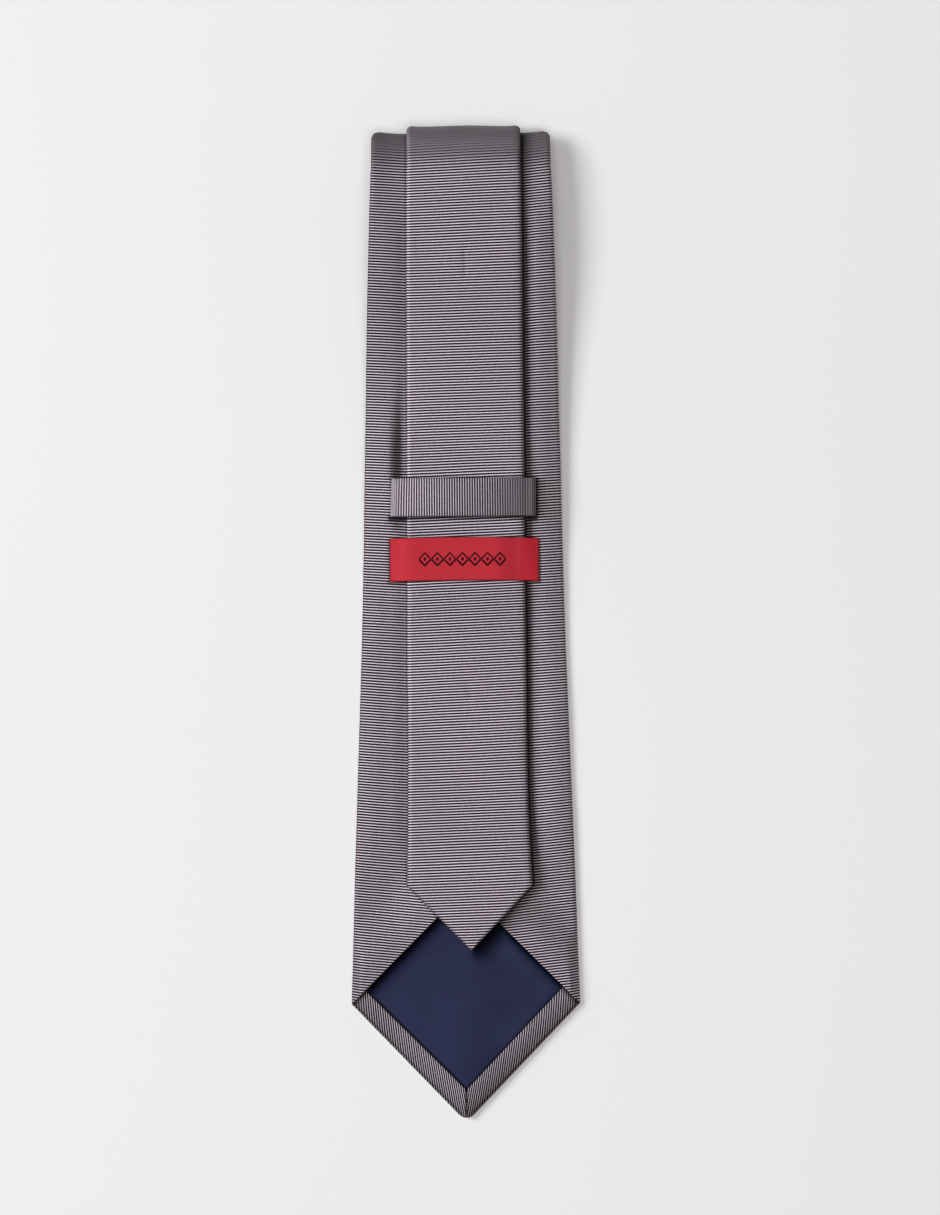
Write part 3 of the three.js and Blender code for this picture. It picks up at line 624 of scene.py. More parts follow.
def neck_band():
    rows, ph, ac = [], [], []

    def front(x, t):
        return t / PITCH + 0 * x

    def ring(s, half, y, z, oy, oz, shift, skew=0.0, drop=0.0):
        hx, hn, hp = half_section(half, NECK, 0.55, SEAM, SEAM, lambda x: 0 * x, 0, s, front, front, front, edge=0.8)
        x, n, p = whole_section(hx, hn, hp)
        off = n - NECK / 2
        rows.append(np.stack([x + shift, y + off * oy + skew * x, z + off * oz - drop * droop_shape(x + shift)], axis=-1))
        ph.append(p)
        ac.append(x)

    down = curve([36.4, 56, 76, 94, 104, 110], [25.0, 22.6, 20.0, 18.0, 17.2, 17.0])
    for back in list(np.arange(36.4, 50, 2.3)) + list(np.arange(50, 110.1, 3.0)):
        ring(back, float(down(back)), WIDE_FOLD_Y - back, A2_MID, 0, -1, 0,
             skew=-0.7 * float(smooth(62, 36.4, back)), drop=float(wide_droop(WIDE_FOLD_Y - back - TIP_Y)))
    r = (A2_MID - A1_MID) / 2
    for i in range(1, 17):
        f = i / 16
        ang = math.pi * (0.5 - f)
        ring(110 + f * math.pi * r, 17.0 - 0.1 * f, WIDE_FOLD_Y - 110 - r * math.cos(ang),
             (A2_MID + A1_MID) / 2 + r * math.sin(ang), math.cos(ang), -math.sin(ang), 0.1 * f)
    up = curve([50.4, 80, 104, 110], [16.8, 16.8, 16.9, 16.9])
    for back in list(np.arange(108, 50.5, -3.0)) + [50.4]:
        ring(112 + (110 - back), float(up(back)), WIDE_FOLD_Y - back, A1_MID, 0, 1,
             0.1 + 0.2 * float(smooth(104, 50.4, back)), skew=0.7 * float(smooth(76, 50.4, back)))
    return build("neck_band_cloth", rows, ph, ac)


# ------------------------------------------------------------------ lining
def tipping():
    """Thin satin laid on the inside of the front, its edges tucked under hem and flaps."""
    thick = 0.34
    rows, ph, ac, pr = [], [], [], []
    low, high = HEM - 0.9, WIDE_MOUTH + 3.0
    for t in np.unique(np.concatenate([np.arange(low + 0.3, high - 0.3, 0.5), [low + 0.05, high - 0.05, 38.0, 39.5, 41.0]])):
        half = max(0.08, min(t - low, high - t, 31.6))
        x = half * np.sin(np.radians(np.linspace(-90, 90, 131)))
        q_hem = (t - HEM - np.abs(x) * np.where(x > 0, HEM_WIDER[1], HEM_WIDER[-1])) / math.sqrt(2)
        q_flap = (WIDE_MOUTH - t - np.abs(x)) / math.sqrt(2)
        belly = smooth(-0.2, 2.2, q_hem) * smooth(-2.5, 6, q_flap)
        tuck = 0.92 + 0.16 * belly
        ripple = 0.10 * np.sin(0.16 * (x + t) + 0.7) * np.sin(0.12 * (x - t) + 0.4) * belly
        ripple += 0.05 * np.sin(0.33 * x - 0.21 * t) * belly
        z = tuck + 0.10 + ripple
        y = np.full_like(x, TIP_Y + t)
        top = np.stack([x, y, z + thick], axis=-1)
        bot = np.stack([x, y, np.maximum(z, 0.90)], axis=-1)[::-1]
        rows.append(np.concatenate([top, bot]))
        ph.append(np.concatenate([y, y[::-1]]))
        ac.append(np.concatenate([x, x[::-1]]))
        # painted shadow under the flaps' and the hem's edges and under the narrow tip, multiplied into the satin's
        # colour
        deep = beside(np.where(x < 0, q_flap, q_flap * 1.7), [-0.5, 0.35, 1.3, 2.6, 4.2, 6.4], [0.01, 0.03, 0.20, 0.55, 0.84, 1.0])
        deep = np.minimum(deep, beside(q_hem, [-0.3, 0.15, 0.5, 0.9], [0.15, 0.25, 0.75, 1.0]))
        tn = TIP_Y + t - NARROW_TIP_Y
        reach = float(narrow_half(max(tn, 0.0))) if tn > 0 else 0.0
        lean = np.hypot(np.maximum(x - 1.7 - reach, 0), 0) if tn > 0 else np.hypot(x - 1.7, tn)
        tip_shadow = beside(lean, [0, 1.2, 3.5, 6.5, 10], [0.02, 0.05, 0.24, 0.62, 1.0]) if tn > -7 else np.ones_like(x)
        tip_shadow = 1 - (1 - tip_shadow) * smooth(0.6, 3.0, x + min(tn, 0.0) * 0.2)
        if tn < 0:
            tip_shadow = 1 - (1 - tip_shadow) * smooth(-7, 0, tn)
        deep = np.minimum(deep, tip_shadow)
        pr.append(np.tile(np.stack([0 * x, 0 * x, deep], axis=-1), (1, 1)))
        pr[-1] = np.concatenate([pr[-1], pr[-1][::-1]])
    return build("tipping_satin", rows, ph, ac, pr)


# ------------------------------------------------------------------ keeper loop
def keeper_loop():
    """A folded strip of the shell cloth round the narrow blade, its ribs across it."""
    y0, x0, width, high_y = 38.5, 0.15, 44.4, 11.9
    low, high = GAP, GAP + 2.0 + BLADE + 0.55
    mid, ch, corner = (low + high) / 2, (high - low) / 2, 1.9
    line = []
    straight = width - 2 * corner
    for g in np.linspace(0, 1, 400, endpoint=False):
        u = g * (2 * straight + 2 * 8.0)
        if u < straight:                       # lower run, left to right
            line.append((x0 - straight / 2 + u, low))
        elif u < straight + 8.0:
            a = -math.pi / 2 + math.pi * (u - straight) / 8.0
            line.append((x0 + straight / 2 + corner * math.cos(a), mid + ch * math.sin(a)))
        elif u < 2 * straight + 8.0:
            v = u - straight - 8.0
            sag = 0.10 * math.sin(math.pi * v / straight)
            line.append((x0 + straight / 2 - v, high + sag))
        else:
            a = math.pi / 2 + math.pi * (u - 2 * straight - 8.0) / 8.0
            line.append((x0 - straight / 2 + corner * math.cos(a), mid + ch * math.sin(a)))
    line = np.array(line)
    seg = np.linalg.norm(np.roll(line, -1, 0) - line, axis=1)
    s = np.concatenate([[0], np.cumsum(seg)])
    total = s[-1]
    pitch = 0.775
    count = int(round(total / pitch))
    m = count * 7
    u = np.arange(m) / m * total
    closed = np.vstack([line, line[:1]])
    px = np.interp(u, s, closed[:, 0])
    pz = np.interp(u, s, closed[:, 1])
    tx = np.roll(px, -2) - np.roll(px, 2)
    tz = np.roll(pz, -2) - np.roll(pz, 2)
    l = np.hypot(tx, tz)
    nx, nz = tz / l, -tx / l                   # outward
    wall = 0.75
    # the strip's own section: across it (v) and through it (w), rounded edges
    hv = high_y / 2
    sec = []
    for v in np.linspace(-hv + 0.42, hv - 0.42, 11):
        sec.append((v, 0.0, 1.0))
    for a in np.radians([65, 38, 12, -12, -38, -65]):
        sec.append((hv - 0.42 + 0.42 * math.cos(a), -wall / 2 + wall / 2 * math.sin(a), 0.85))
    for v in np.linspace(hv - 0.42, -hv + 0.42, 5):
        sec.append((v, -wall, 0.0))
    for a in np.radians([-65, -38, -12, 12, 38, 65]):
        sec.append((-hv + 0.42 - 0.42 * math.cos(a), -wall / 2 + wall / 2 * math.sin(a), 0.85))
    sec = np.array(sec)
    rib = 0.075 * np.cos(2 * math.pi * u / total * count)
    rows, ph, ac, pr = [], [], [], []
    wob = np.random.default_rng(5).normal(0, 0.02, count)
    for k in range(m):
        w = sec[:, 1] + rib[k] * sec[:, 2]
        grow = rib[k] * 0.7 + wob[(k * count // m) % count]
        edge = smooth(hv - 1.0, hv, np.abs(sec[:, 0]))
        v = sec[:, 0] + np.sign(sec[:, 0]) * grow * edge
        left = smooth(-10, -22, px[k])
        y = y0 + v
        x = px[k] + nx[k] * w + 0.45 * left * (v / high_y) * 1.0
        z = pz[k] + nz[k] * w
        # the upper run is pulled straight over the dents that the lower run lies in
        under = wide_back(x * 0 + px[k], y)
        at = wide_back(np.full(2, px[k]), np.array([y0 - 5.0, y0 + 1.5]))
        taut = at[0] + (y - y0 + 5.0) * (at[1] - at[0]) / 6.5
        h = smooth(0.3, 0.9, (pz[k] - low) / (high - low))
        under = under + h * np.clip(taut - under, 0, 0.8)
        rows.append(np.stack([x, y, under + z], axis=-1))
        ph.append(np.full(len(sec), u[k] / total * count))
        ac.append(v)
        # rib contrast flattened at both ends; painted highlight on the left end, painted shade growing towards the
        # right end, along the lower edge and a little along the upper edge
        flat = float(np.interp(px[k], [-22, -18, -10, 8, 16, 22], [0.85, 0.45, 0.38, 0.45, 0.72, 0.9]))
        value = float(np.interp(px[k], [-22, -18, -8, 0, 10, 18, 22], [1.25, 1.24, 1.02, 0.86, 0.69, 0.47, 0.40]))
        loop_edge_shade = np.where(sec[:, 0] < -hv + 0.30, 0.45, 1.0) * np.where(sec[:, 0] > hv - 0.15, 0.8, 1.0)
        pr.append(np.stack([np.full(len(sec), flat), np.full(len(sec), 0.58), value * loop_edge_shade], axis=-1))
    rows.append(rows[0])
    pr.append(pr[0])
    ph.append(ph[0] * 0 + count)
    ac.append(ac[0])
    return build("keeper_loop_cloth", rows, ph, ac, pr, caps=False, merge=1e-6)


# ------------------------------------------------------------------ label
LABEL_Y, LABEL_X, LABEL_W, LABEL_H = 19.4, 0.35, 45.6, 13.35


def label_over(x):
    """Height of the ribbon's underside over the middle of the wide blade's back."""
    half = LABEL_W / 2
    reach = np.where(np.asarray(x) < LABEL_X, 7.4, 6.6)
    g = np.clip((half - np.abs(x - LABEL_X)) / reach, 0, 1)
    drop = 1 - (1 - g) ** 1.9
    fold = -0.16 * smooth(11.2, 16.5, x) * smooth(21.5, 17.5, x)
    return 0.45 + 2.30 * drop + 0.42 * (1 - ((x - LABEL_X) / half) ** 2) + fold


def label_base(y):
    return wide_back_mid(np.asarray(y, float) - TIP_Y)


def label_rise(x, y):
    """The ribbon follows the narrow blade where that climbs to the loop."""
    climb = narrow_clear(np.asarray(y, float) - NARROW_TIP_Y) - 0.28
    return np.maximum(climb, 0) * smooth(22.8, 17.0, np.abs(np.asarray(x, float) - LABEL_X))


def label_top(x, y):
    return label_base(y) + label_over(x) + label_rise(x, y) + 0.5


def label():
    half, hv, wall = LABEL_W / 2, LABEL_H / 2, 0.5
    xs = np.concatenate([[-half, -half + 0.04, -half + 0.14, -half + 0.3], np.linspace(-half + 0.6, half - 0.6, 130),
                         [half - 0.3, half - 0.14, half - 0.04, half]])
    slope_x = np.gradient(label_over(xs + LABEL_X), xs)
    sec = []
    for v in np.concatenate([[-hv + 0.2, -hv + 0.35, -hv + 0.6], np.linspace(-hv + 1.0, hv - 1.0, 23), [hv - 0.6, hv - 0.35, hv - 0.2]]):
        sec.append((v, wall))
    for a in np.radians([50, 0, -50]):
        sec.append((hv - 0.2 + 0.2 * math.cos(a), wall / 2 + wall / 2 * math.sin(a)))
    for v in np.linspace(hv - 0.2, -hv + 0.2, 9):
        sec.append((v, 0.0))
    for a in np.radians([-50, 0, 50]):
        sec.append((-hv + 0.2 - 0.2 * math.cos(a), wall / 2 + wall / 2 * math.sin(a)))
    sec = np.array(sec)
    rows, ph, ac, pr = [], [], [], []
    for x, g in zip(xs, slope_x):
        q = min(half - abs(x), 0.25)
        shrink = math.sqrt(max(0.0, 1 - ((0.25 - q) / 0.25) ** 2)) * 0.5 + 0.5
        w = wall / 2 + (sec[:, 1] - wall / 2) * shrink
        l = math.hypot(1, g)
        bow = 0.32 * (1 - (x / half) ** 2)
        y = LABEL_Y + sec[:, 0] + bow - 0.12
        curl = 0.10 * smooth(hv - 2.5, hv, np.abs(sec[:, 0])) * (1 - abs(x) / half)
        X = x + LABEL_X - w * g / l
        Z = label_base(y) + label_over(x + LABEL_X) + label_rise(x + LABEL_X, y) + w / l + curl
        rows.append(np.stack([X, y, Z], axis=-1))
        ph.append(sec[:, 0])
        ac.append(np.full(len(sec), x))
        # painted light on the ribbon: lighter towards the right end, a painted shade band where it bends over the
        # narrow blade's right edge, and painted shade along its ends and its lower and upper edges
        tone = float(np.interp(x + LABEL_X, [-23.2, -18, -14, 9.5, 12.5, 15.5, 17.5, 19.5, 23], [0.98, 1.0, 0.96, 0.94, 0.82, 0.80, 0.92, 1.04, 1.12]))
        label_end_shade = beside(half - abs(x), [0, 0.25, 0.5], [0.45, 0.65, 1.0])
        low = beside(sec[:, 0] + hv, [0.0, 0.25, 0.55], [0.40, 0.60, 1.0])
        high = beside(hv - sec[:, 0], [0.0, 0.2, 0.4], [0.65, 0.8, 1.0])
        pr.append(np.stack([0 * low, 0 * low, tone * np.minimum(np.minimum(low, high), label_end_shade)], axis=-1))
    return build("label_ribbon", rows, ph, ac, pr)


# ------------------------------------------------------------------ thread
def stitch_tube(points, r, sides=7):
    """A closed short thread through the points, in mm."""
    pts = np.array(points, float)
    verts, faces = [], []
    n = len(pts)
    for i in range(n):
        a = pts[min(n - 1, i + 1)] - pts[max(0, i - 1)]
        a = a / np.linalg.norm(a)
        up = np.array([0, 0, 1.0]) if abs(a[2]) < 0.9 else np.array([1.0, 0, 0])
        s = np.cross(a, up)
        s /= np.linalg.norm(s)
        b = np.cross(s, a)
        rr = r * (0.45 if i in (0, n - 1) else 1.0)
        for k in range(sides):
            g = 2 * math.pi * k / sides
            verts.append(pts[i] + rr * (math.cos(g) * s + math.sin(g) * b))
    for i in range(n - 1):
        for k in range(sides):
            j = (k + 1) % sides
            faces.append([i * sides + k, i * sides + j, (i + 1) * sides + j, (i + 1) * sides + k])
    faces.append(list(range(sides))[::-1])
    faces.append([(n - 1) * sides + k for k in range(sides)])
    return verts, faces


def join_threads(name, tubes):
    verts, faces = [], []
    for v, f in tubes:
        base = len(verts)
        verts += [list(np.array(p) * MM) for p in v]
        faces += [[base + i for i in face] for face in f]
    mesh = bpy.data.meshes.new(name)
    mesh.from_pydata(verts, [], faces)
    mesh.shade_smooth()
    bm = bmesh.new()
    bm.from_mesh(mesh)
    bmesh.ops.recalc_face_normals(bm, faces=bm.faces)
    bm.to_mesh(mesh)
    bm.free()
    obj = bpy.data.objects.new(name, mesh)
    bpy.context.scene.collection.objects.link(obj)
    return obj


def label_stitches():
    tubes = []
    rng = np.random.default_rng(11)
    for side in (-1, 1):
        for v in np.arange(-5.9, 6.0, 1.5):
            y = LABEL_Y + v + rng.normal(0, 0.06)
            x1 = LABEL_X + side * (LABEL_W / 2 - 0.75)
            x2 = LABEL_X + side * (LABEL_W / 2 + 0.28)
            z1 = float(label_top(x1, y)) + 0.03
            z2 = float(wide_back(x2, y)) + 0.04
            xm = LABEL_X + side * (LABEL_W / 2 - 0.05)
            zm = float(label_top(xm, y)) - 0.25
            tubes.append(stitch_tube([(x1, y, z1 - 0.1), (x1 + side * 0.15, y, z1 + 0.03), (xm, y + 0.05, zm), (x2, y + 0.1, z2 + 0.05), (x2, y + 0.1, z2 - 0.1)], 0.085))
    return join_threads("label_stitches", tubes)


def label_ornament():
    """A plain woven band of linked open lozenges, each with a dot in it."""
    n, step, hh, wide_line = 7, 3.85, 1.95, 0.50
    verts, faces = [], []
    mid_y = LABEL_Y + 0.15

    def strip(points, w):
        """A flat raised float of thread along points."""
        pts = np.array(points, float)
        rows = []
        for i in range(len(pts)):
            d = pts[min(i + 1, len(pts) - 1)] - pts[max(i - 1, 0)]
            d = d / np.hypot(*d)
            side = np.array([-d[1], d[0]])
            end = 0.6 if i in (0, len(pts) - 1) else 1.0
            row = []
            for g, up in ((-1, -0.10), (-0.92, 0.035), (-0.45, 0.075), (0.45, 0.075), (0.92, 0.035), (1, -0.10)):
                q = pts[i] + side * g * w * end / 2
                lump = 0.012 * math.cos(2 * math.pi * q[1] / 0.26) if up > 0.05 else 0.0
                row.append((q[0], q[1], float(label_top(q[0], q[1])) + up + lump))
            rows.append(row)
        base = len(verts)
        m = 6
        for row in rows:
            verts.extend(row)
        for i in range(len(rows) - 1):
            for k in range(m):
                j = (k + 1) % m
                faces.append([base + i * m + k, base + (i + 1) * m + k, base + (i + 1) * m + j, base + i * m + j])
        faces.append([base + k for k in range(m)])
        faces.append([base + (len(rows) - 1) * m + k for k in range(m)][::-1])

    for i in range(n):
        cx = LABEL_X - 0.6 + (i - (n - 1) / 2) * step
        hw = step / 2
        for sy in (1, -1):
            up = [(cx - hw + 0.06 + f * (hw - 0.06), mid_y + sy * hh * f) for f in np.linspace(0.03, 0.99, 12)]
            down = [(cx + f * (hw - 0.06), mid_y + sy * hh * (1 - f)) for f in np.linspace(0.01, 0.97, 12)]
            strip(up + down[1:], wide_line if sy > 0 else wide_line * 1.35)
        strip([(cx, mid_y + v) for v in np.linspace(-0.5, 0.5, 6)], 0.85)
    mesh = bpy.data.meshes.new("label_ornament")
    mesh.from_pydata([tuple(c * MM for c in v) for v in verts], [], faces)
    bm = bmesh.new()
    bm.from_mesh(mesh)
    bmesh.ops.recalc_face_normals(bm, faces=bm.faces)
    bm.to_mesh(mesh)
    bm.free()
    mesh.shade_smooth()
    obj = bpy.data.objects.new("label_ornament", mesh)
    bpy.context.scene.collection.objects.link(obj)
    return obj


# ------------------------------------------------------------------ materials
def new_material(name):
    m = bpy.data.materials.new(name)
    m.use_nodes = True
    nt = m.node_tree
    nt.nodes.clear()
    out = nt.nodes.new("ShaderNodeOutputMaterial")
    b = nt.nodes.new("ShaderNodeBsdfPrincipled")
    nt.links.new(b.outputs[0], out.inputs[0])
    return m, nt, b


def math_node(nt, op, a, b=None, clamp=False):
    n = nt.nodes.new("ShaderNodeMath")
    n.operation = op
    n.use_clamp = clamp
    for i, v in enumerate((a, b)):
        if v is None:
            continue
        if isinstance(v, (int, float)):
            n.inputs[i].default_value = v
        else:
            nt.links.new(v, n.inputs[i])
    return n.outputs[0]


def ramp(nt, fac, stops):
    n = nt.nodes.new("ShaderNodeValToRGB")
    n.color_ramp.interpolation = "EASE"
    els = n.color_ramp.elements
    els[0].position, els[0].color = stops[0][0], (*stops[0][1], 1)
    els[1].position, els[1].color = stops[-1][0], (*stops[-1][1], 1)
    for p, c in stops[1:-1]:
        e = els.new(p)
        e.color = (*c, 1)
    nt.links.new(fac, n.inputs[0])
    return n.outputs[0]


def noise(nt, vec, scale, detail=2.0, rough=0.5):
    n = nt.nodes.new("ShaderNodeTexNoise")
    n.inputs["Scale"].default_value = scale
    n.inputs["Detail"].default_value = detail
    n.inputs["Roughness"].default_value = rough
    nt.links.new(vec, n.inputs["Vector"])
    return n.outputs[0]


def scaled(nt, vec, s):
    n = nt.nodes.new("ShaderNodeVectorMath")
    n.operation = "MULTIPLY"
    n.inputs[1].default_value = s
    nt.links.new(vec, n.inputs[0])
    return n.outputs[0]


def ribbed_cloth(name="ribbed_cloth", dark=(0.030, 0.021, 0.029), light=(0.62, 0.553, 0.620), bump=0.75, height=0.00016):
    m, nt, b = new_material(name)
    att = nt.nodes.new("ShaderNodeAttribute")
    att.attribute_name = "cloth"
    sep = nt.nodes.new("ShaderNodeSeparateXYZ")
    nt.links.new(att.outputs["Vector"], sep.inputs[0])
    across, phase = sep.outputs[0], sep.outputs[1]
    tex = nt.nodes.new("ShaderNodeTexCoord")
    obj = tex.outputs["Object"]
    drift = noise(nt, scaled(nt, obj, (42, 42, 42)), 1.0, 2.0)
    p = math_node(nt, "ADD", phase, math_node(nt, "MULTIPLY", math_node(nt, "SUBTRACT", drift, 0.5), 0.35))
    # yarns swell and thin along each rib
    comb = nt.nodes.new("ShaderNodeCombineXYZ")
    nt.links.new(across, comb.inputs[0])
    nt.links.new(p, comb.inputs[1])
    yarn = noise(nt, scaled(nt, comb.outputs[0], (0.9, 1.0, 1.0)), 1.0, 3.0, 0.6)
    wave = math_node(nt, "COSINE", math_node(nt, "MULTIPLY", p, 2 * math.pi))
    rib = math_node(nt, "ADD", math_node(nt, "MULTIPLY", wave, 0.5), 0.5)
    threads = math_node(nt, "SINE", math_node(nt, "MULTIPLY", across, 2 * math.pi / 0.22))
    fac = math_node(nt, "ADD", rib, math_node(nt, "MULTIPLY", math_node(nt, "SUBTRACT", yarn, 0.5), 0.30))
    fac = math_node(nt, "ADD", fac, math_node(nt, "MULTIPLY", threads, 0.03), clamp=True)
    # second attribute: x flattens the ribs' contrast towards y, z is painted shade and highlight
    flatten_and_shade = nt.nodes.new("ShaderNodeAttribute")
    flatten_and_shade.attribute_name = "flatten_and_painted_shade"
    flatten_and_painted_shade = nt.nodes.new("ShaderNodeSeparateXYZ")
    nt.links.new(flatten_and_shade.outputs["Vector"], flatten_and_painted_shade.inputs[0])
    raised = math_node(nt, "SUBTRACT", 1.0, flatten_and_painted_shade.outputs[0])
    fac = math_node(nt, "ADD", math_node(nt, "MULTIPLY", fac, raised), math_node(nt, "MULTIPLY", flatten_and_painted_shade.outputs[0], flatten_and_painted_shade.outputs[1]))
    col = ramp(nt, fac, [(0.0, dark), (0.30, tuple(c * 1.4 for c in dark)), (0.62, tuple(0.50 * x + 0.50 * y for x, y in zip(light, dark))), (0.90, light), (1.0, tuple(min(1, c * 1.06) for c in light))])
    # slow drift of tone over the cloth
    tone = noise(nt, scaled(nt, obj, (22, 22, 22)), 1.0, 3.0)
    hsv = nt.nodes.new("ShaderNodeHueSaturation")
    nt.links.new(col, hsv.inputs["Color"])
    value = math_node(nt, "ADD", math_node(nt, "MULTIPLY", tone, 0.32), 0.84)
    # the slow tone times the painted shade and highlight
    nt.links.new(math_node(nt, "MULTIPLY", value, flatten_and_painted_shade.outputs[2]), hsv.inputs["Value"])
    nt.links.new(hsv.outputs[0], b.inputs["Base Color"])
    rough = math_node(nt, "ADD", math_node(nt, "MULTIPLY", fac, -0.20), 0.76)
    nt.links.new(rough, b.inputs["Roughness"])
    b.inputs["Metallic"].default_value = 0.7
    b.inputs["Specular IOR Level"].default_value = 0.4
    b.inputs["Sheen Weight"].default_value = 0.05
    b.inputs["Sheen Roughness"].default_value = 0.4
    h = math_node(nt, "ADD", math_node(nt, "POWER", rib, 0.6), math_node(nt, "MULTIPLY", threads, 0.05))
    h = math_node(nt, "ADD", h, math_node(nt, "MULTIPLY", yarn, 0.25))
    h = math_node(nt, "MULTIPLY", h, math_node(nt, "SUBTRACT", 1.0, math_node(nt, "MULTIPLY", flatten_and_painted_shade.outputs[0], 0.6)))
    bp = nt.nodes.new("ShaderNodeBump")
    bp.inputs["Strength"].default_value = bump
    bp.inputs["Distance"].default_value = height
    nt.links.new(h, bp.inputs["Height"])
    nt.links.new(bp.outputs[0], b.inputs["Normal"])
    return m


def satin(name, base, light, dirs=(1.0, 1.0), pitch=0.30, rough=0.45, sheen=0.15, spec=0.5, strength=0.25):
    m, nt, b = new_material(name)
    att = nt.nodes.new("ShaderNodeAttribute")
    att.attribute_name = "cloth"
    sep = nt.nodes.new("ShaderNodeSeparateXYZ")
    nt.links.new(att.outputs["Vector"], sep.inputs[0])
    tex = nt.nodes.new("ShaderNodeTexCoord")
    u, v = sep.outputs[0], sep.outputs[1]
    d1 = math_node(nt, "ADD", math_node(nt, "MULTIPLY", u, dirs[0]), math_node(nt, "MULTIPLY", v, dirs[1]))
    twill = math_node(nt, "SINE", math_node(nt, "MULTIPLY", d1, 2 * math.pi / pitch))
    cross = math_node(nt, "SINE", math_node(nt, "MULTIPLY", math_node(nt, "SUBTRACT", u, v), 2 * math.pi / (pitch * 1.7)))
    grain = noise(nt, scaled(nt, att.outputs["Vector"], (3.0, 3.0, 1.0)), 1.0, 3.0, 0.6)
    slow = noise(nt, scaled(nt, tex.outputs["Object"], (45, 45, 45)), 1.0, 2.0)
    fac = math_node(nt, "ADD", math_node(nt, "MULTIPLY", twill, 0.10), math_node(nt, "MULTIPLY", cross, 0.05))
    fac = math_node(nt, "ADD", fac, math_node(nt, "MULTIPLY", grain, 0.45))
    fac = math_node(nt, "ADD", fac, math_node(nt, "MULTIPLY", slow, 0.55), clamp=True)
    col = ramp(nt, fac, [(0.28, base), (0.72, light)])
    # the attribute's third channel is painted shade: it darkens the colour and the specular
    flatten_and_shade = nt.nodes.new("ShaderNodeAttribute")
    flatten_and_shade.attribute_name = "flatten_and_painted_shade"
    flatten_and_painted_shade = nt.nodes.new("ShaderNodeSeparateXYZ")
    nt.links.new(flatten_and_shade.outputs["Vector"], flatten_and_painted_shade.inputs[0])
    hsv = nt.nodes.new("ShaderNodeHueSaturation")
    nt.links.new(flatten_and_painted_shade.outputs[2], hsv.inputs["Value"])
    nt.links.new(col, hsv.inputs["Color"])
    nt.links.new(hsv.outputs[0], b.inputs["Base Color"])
    nt.links.new(math_node(nt, "MULTIPLY", flatten_and_painted_shade.outputs[2], spec), b.inputs["Specular IOR Level"])
    nt.links.new(math_node(nt, "ADD", math_node(nt, "MULTIPLY", grain, 0.15), rough - 0.07), b.inputs["Roughness"])
    b.inputs["Sheen Weight"].default_value = sheen
    bp = nt.nodes.new("ShaderNodeBump")
    bp.inputs["Strength"].default_value = strength
    bp.inputs["Distance"].default_value = 0.00005
    nt.links.new(math_node(nt, "ADD", twill, math_node(nt, "MULTIPLY", grain, 0.8)), bp.inputs["Height"])
    nt.links.new(bp.outputs[0], b.inputs["Normal"])
    return m


def thread(name, base, light):
    m, nt, b = new_material(name)
    tex = nt.nodes.new("ShaderNodeTexCoord")
    g = noise(nt, scaled(nt, tex.outputs["Object"], (4000, 4000, 4000)), 1.0, 2.0)
    nt.links.new(ramp(nt, g, [(0.3, base), (0.7, light)]), b.inputs["Base Color"])
    nt.links.new(math_node(nt, "ADD", math_node(nt, "MULTIPLY", g, 0.2), 0.5), b.inputs["Roughness"])
    b.inputs["Specular IOR Level"].default_value = 0.06
    bp = nt.nodes.new("ShaderNodeBump")
    bp.inputs["Strength"].default_value = 0.3
    bp.inputs["Distance"].default_value = 0.00003
    nt.links.new(g, bp.inputs["Height"])
    nt.links.new(bp.outputs[0], b.inputs["Normal"])
    return m


def paper(name, base):
    m, nt, b = new_material(name)
    tex = nt.nodes.new("ShaderNodeTexCoord")
    g = noise(nt, scaled(nt, tex.outputs["Object"], (3, 3, 3)), 1.0, 2.0)
    nt.links.new(ramp(nt, g, [(0.2, tuple(c * 0.985 for c in base)), (0.8, base)]), b.inputs["Base Color"])
    b.inputs["Roughness"].default_value = 0.9
    b.inputs["Specular IOR Level"].default_value = 0.1
    return m


# ------------------------------------------------------------------ camera, light, floor
scene = bpy.context.scene
scene.view_settings.view_transform = "Standard"
scene.view_settings.look = "None"
scene.cycles.filter_width = 1.25

FRAME_H = 1215 * 0.30838 * MM      # what the picture's height covers on the tie's back
CAM_Z = 1.6
cam_data = bpy.data.cameras.new("camera")
cam_data.sensor_fit = "VERTICAL"
cam_data.sensor_height = 24.0
cam_data.lens = 24.0 * (CAM_Z - 0.003) / FRAME_H
cam_data.clip_start = 0.05
cam_data.clip_end = 20
cam = bpy.data.objects.new("camera", cam_data)
scene.collection.objects.link(cam)
cam.location = (1.994 * MM, 4.622 * MM, CAM_Z)
cam.rotation_euler = (0, 0, math.radians(-0.35))
scene.camera = cam

bpy.ops.mesh.primitive_plane_add(size=8.0, location=(0, 0, -0.00005))
floor = bpy.context.object
floor.name = "floor"
floor.data.materials.append(paper("floor_paper", (0.86, 0.862, 0.862)))
floor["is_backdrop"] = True


def area(name, loc, size, power, aim=(0, 0, 0), colour=(1, 1, 1)):
    d = bpy.data.lights.new(name, "AREA")
    d.shape = "RECTANGLE"
    d.size, d.size_y = size
    d.energy = power
    d.color = colour
    o = bpy.data.objects.new(name, d)
    scene.collection.objects.link(o)
    o.location = loc
    v = np.array(aim, float) - np.array(loc, float)
    from mathutils import Vector
    o.rotation_euler = Vector(v).to_track_quat("-Z", "Y").to_euler()
    return o


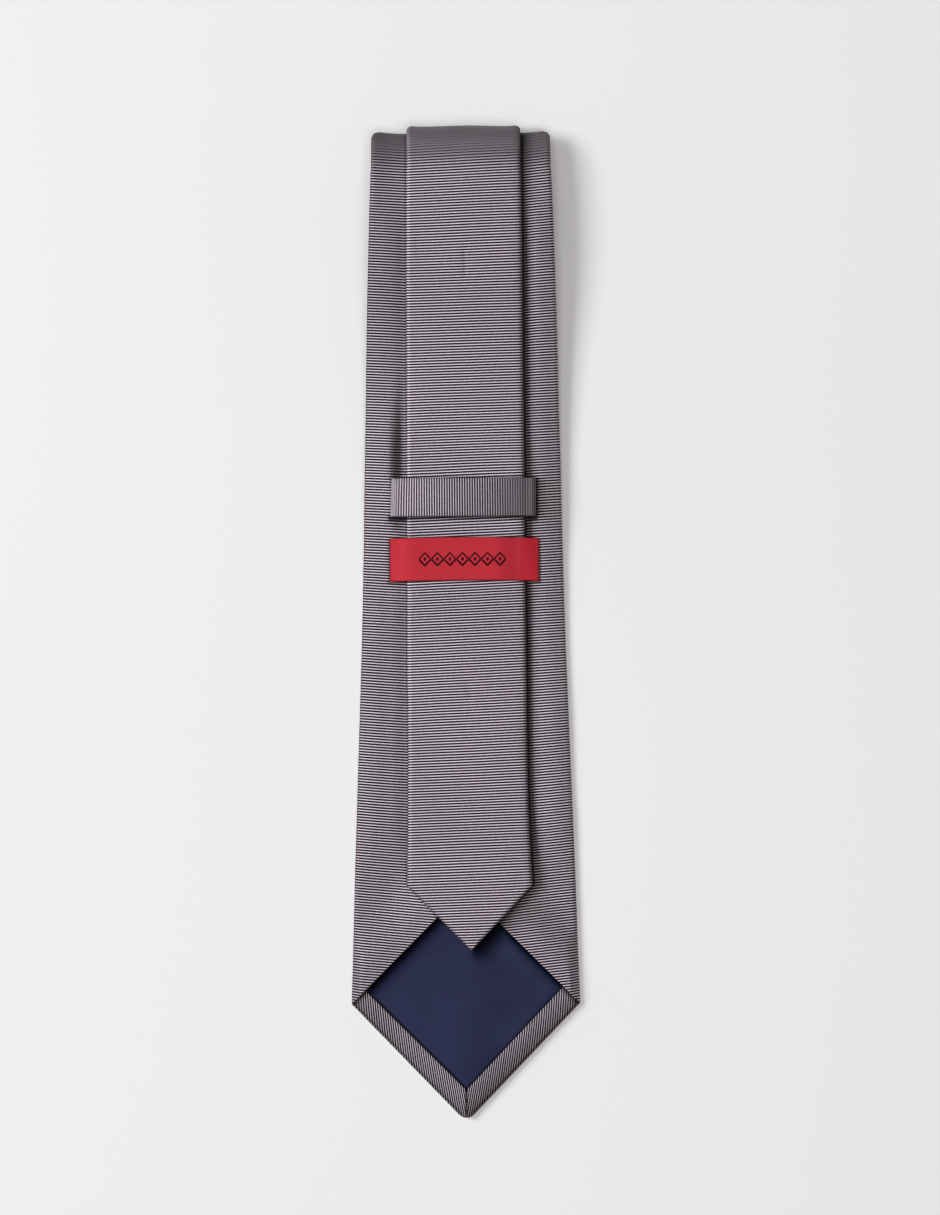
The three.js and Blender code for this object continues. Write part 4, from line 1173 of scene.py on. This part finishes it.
area("key", (-1.75, 0.45, 1.75), (1.15, 1.15), 43.0, colour=(0.985, 1.0, 1.015))
area("top_fill", (0.1, -0.3, 2.6), (1.6, 1.6), 31.5, colour=(1.0, 0.97, 0.945))
world = bpy.data.worlds.new("world")
scene.world = world
world.use_nodes = True
wt = world.node_tree
bg = wt.nodes["Background"]
sky = wt.nodes.new("ShaderNodeTexCoord")
up = wt.nodes.new("ShaderNodeSeparateXYZ")
wt.links.new(sky.outputs["Generated"], up.inputs[0])
wt.links.new(ramp(wt, up.outputs[2], [(0.0, (1.0, 0.97, 0.95)), (0.5, (0.7, 0.68, 0.665)), (1.0, (0.2, 0.195, 0.19))]), bg.inputs[0])
bg.inputs[1].default_value = 0.26

# ------------------------------------------------------------------ pieces
cloth = ribbed_cloth()
loop_mat = ribbed_cloth("ribbed_cloth_loop", bump=0.35)
navy = satin("lining_satin", (0.0076, 0.0106, 0.0385), (0.0208, 0.0258, 0.082), pitch=0.45, rough=0.55, sheen=0.0, spec=0.14)
red = satin("label_satin", (0.45, 0.015, 0.029), (0.58, 0.024, 0.043), dirs=(0.0, 1.0), pitch=0.26, rough=0.5, sheen=0.0, spec=0.15)
red_thread = thread("label_thread", (0.22, 0.010, 0.018), (0.38, 0.02, 0.035))
dark_thread = thread("ornament_thread", (0.036, 0.003, 0.005), (0.07, 0.006, 0.010))

wide = wide_blade()
wide.data.materials.append(cloth)
narrow = narrow_blade()
narrow.data.materials.append(cloth)
neck = neck_band()
neck.data.materials.append(cloth)
lining = tipping()
lining.data.materials.append(navy)
loop = keeper_loop()
loop.data.materials.append(loop_mat)
ribbon = label()
ribbon.data.materials.append(red)
stitches = label_stitches()
stitches.data.materials.append(red_thread)
ornament = label_ornament()
ornament.data.materials.append(dark_thread)

for piece, node, slot in (
    (wide, "wide_blade", "ribbed_cloth"), (narrow, "narrow_blade", "ribbed_cloth"),
    (neck, "neck_band", "ribbed_cloth"), (lining, "tipping", "lining_cloth"),
    (loop, "keeper_loop", "ribbed_cloth"), (ribbon, "label", "label_satin"),
):
    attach(piece, "root")
    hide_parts(node)
for piece in (stitches, ornament):
    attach(piece, "root")

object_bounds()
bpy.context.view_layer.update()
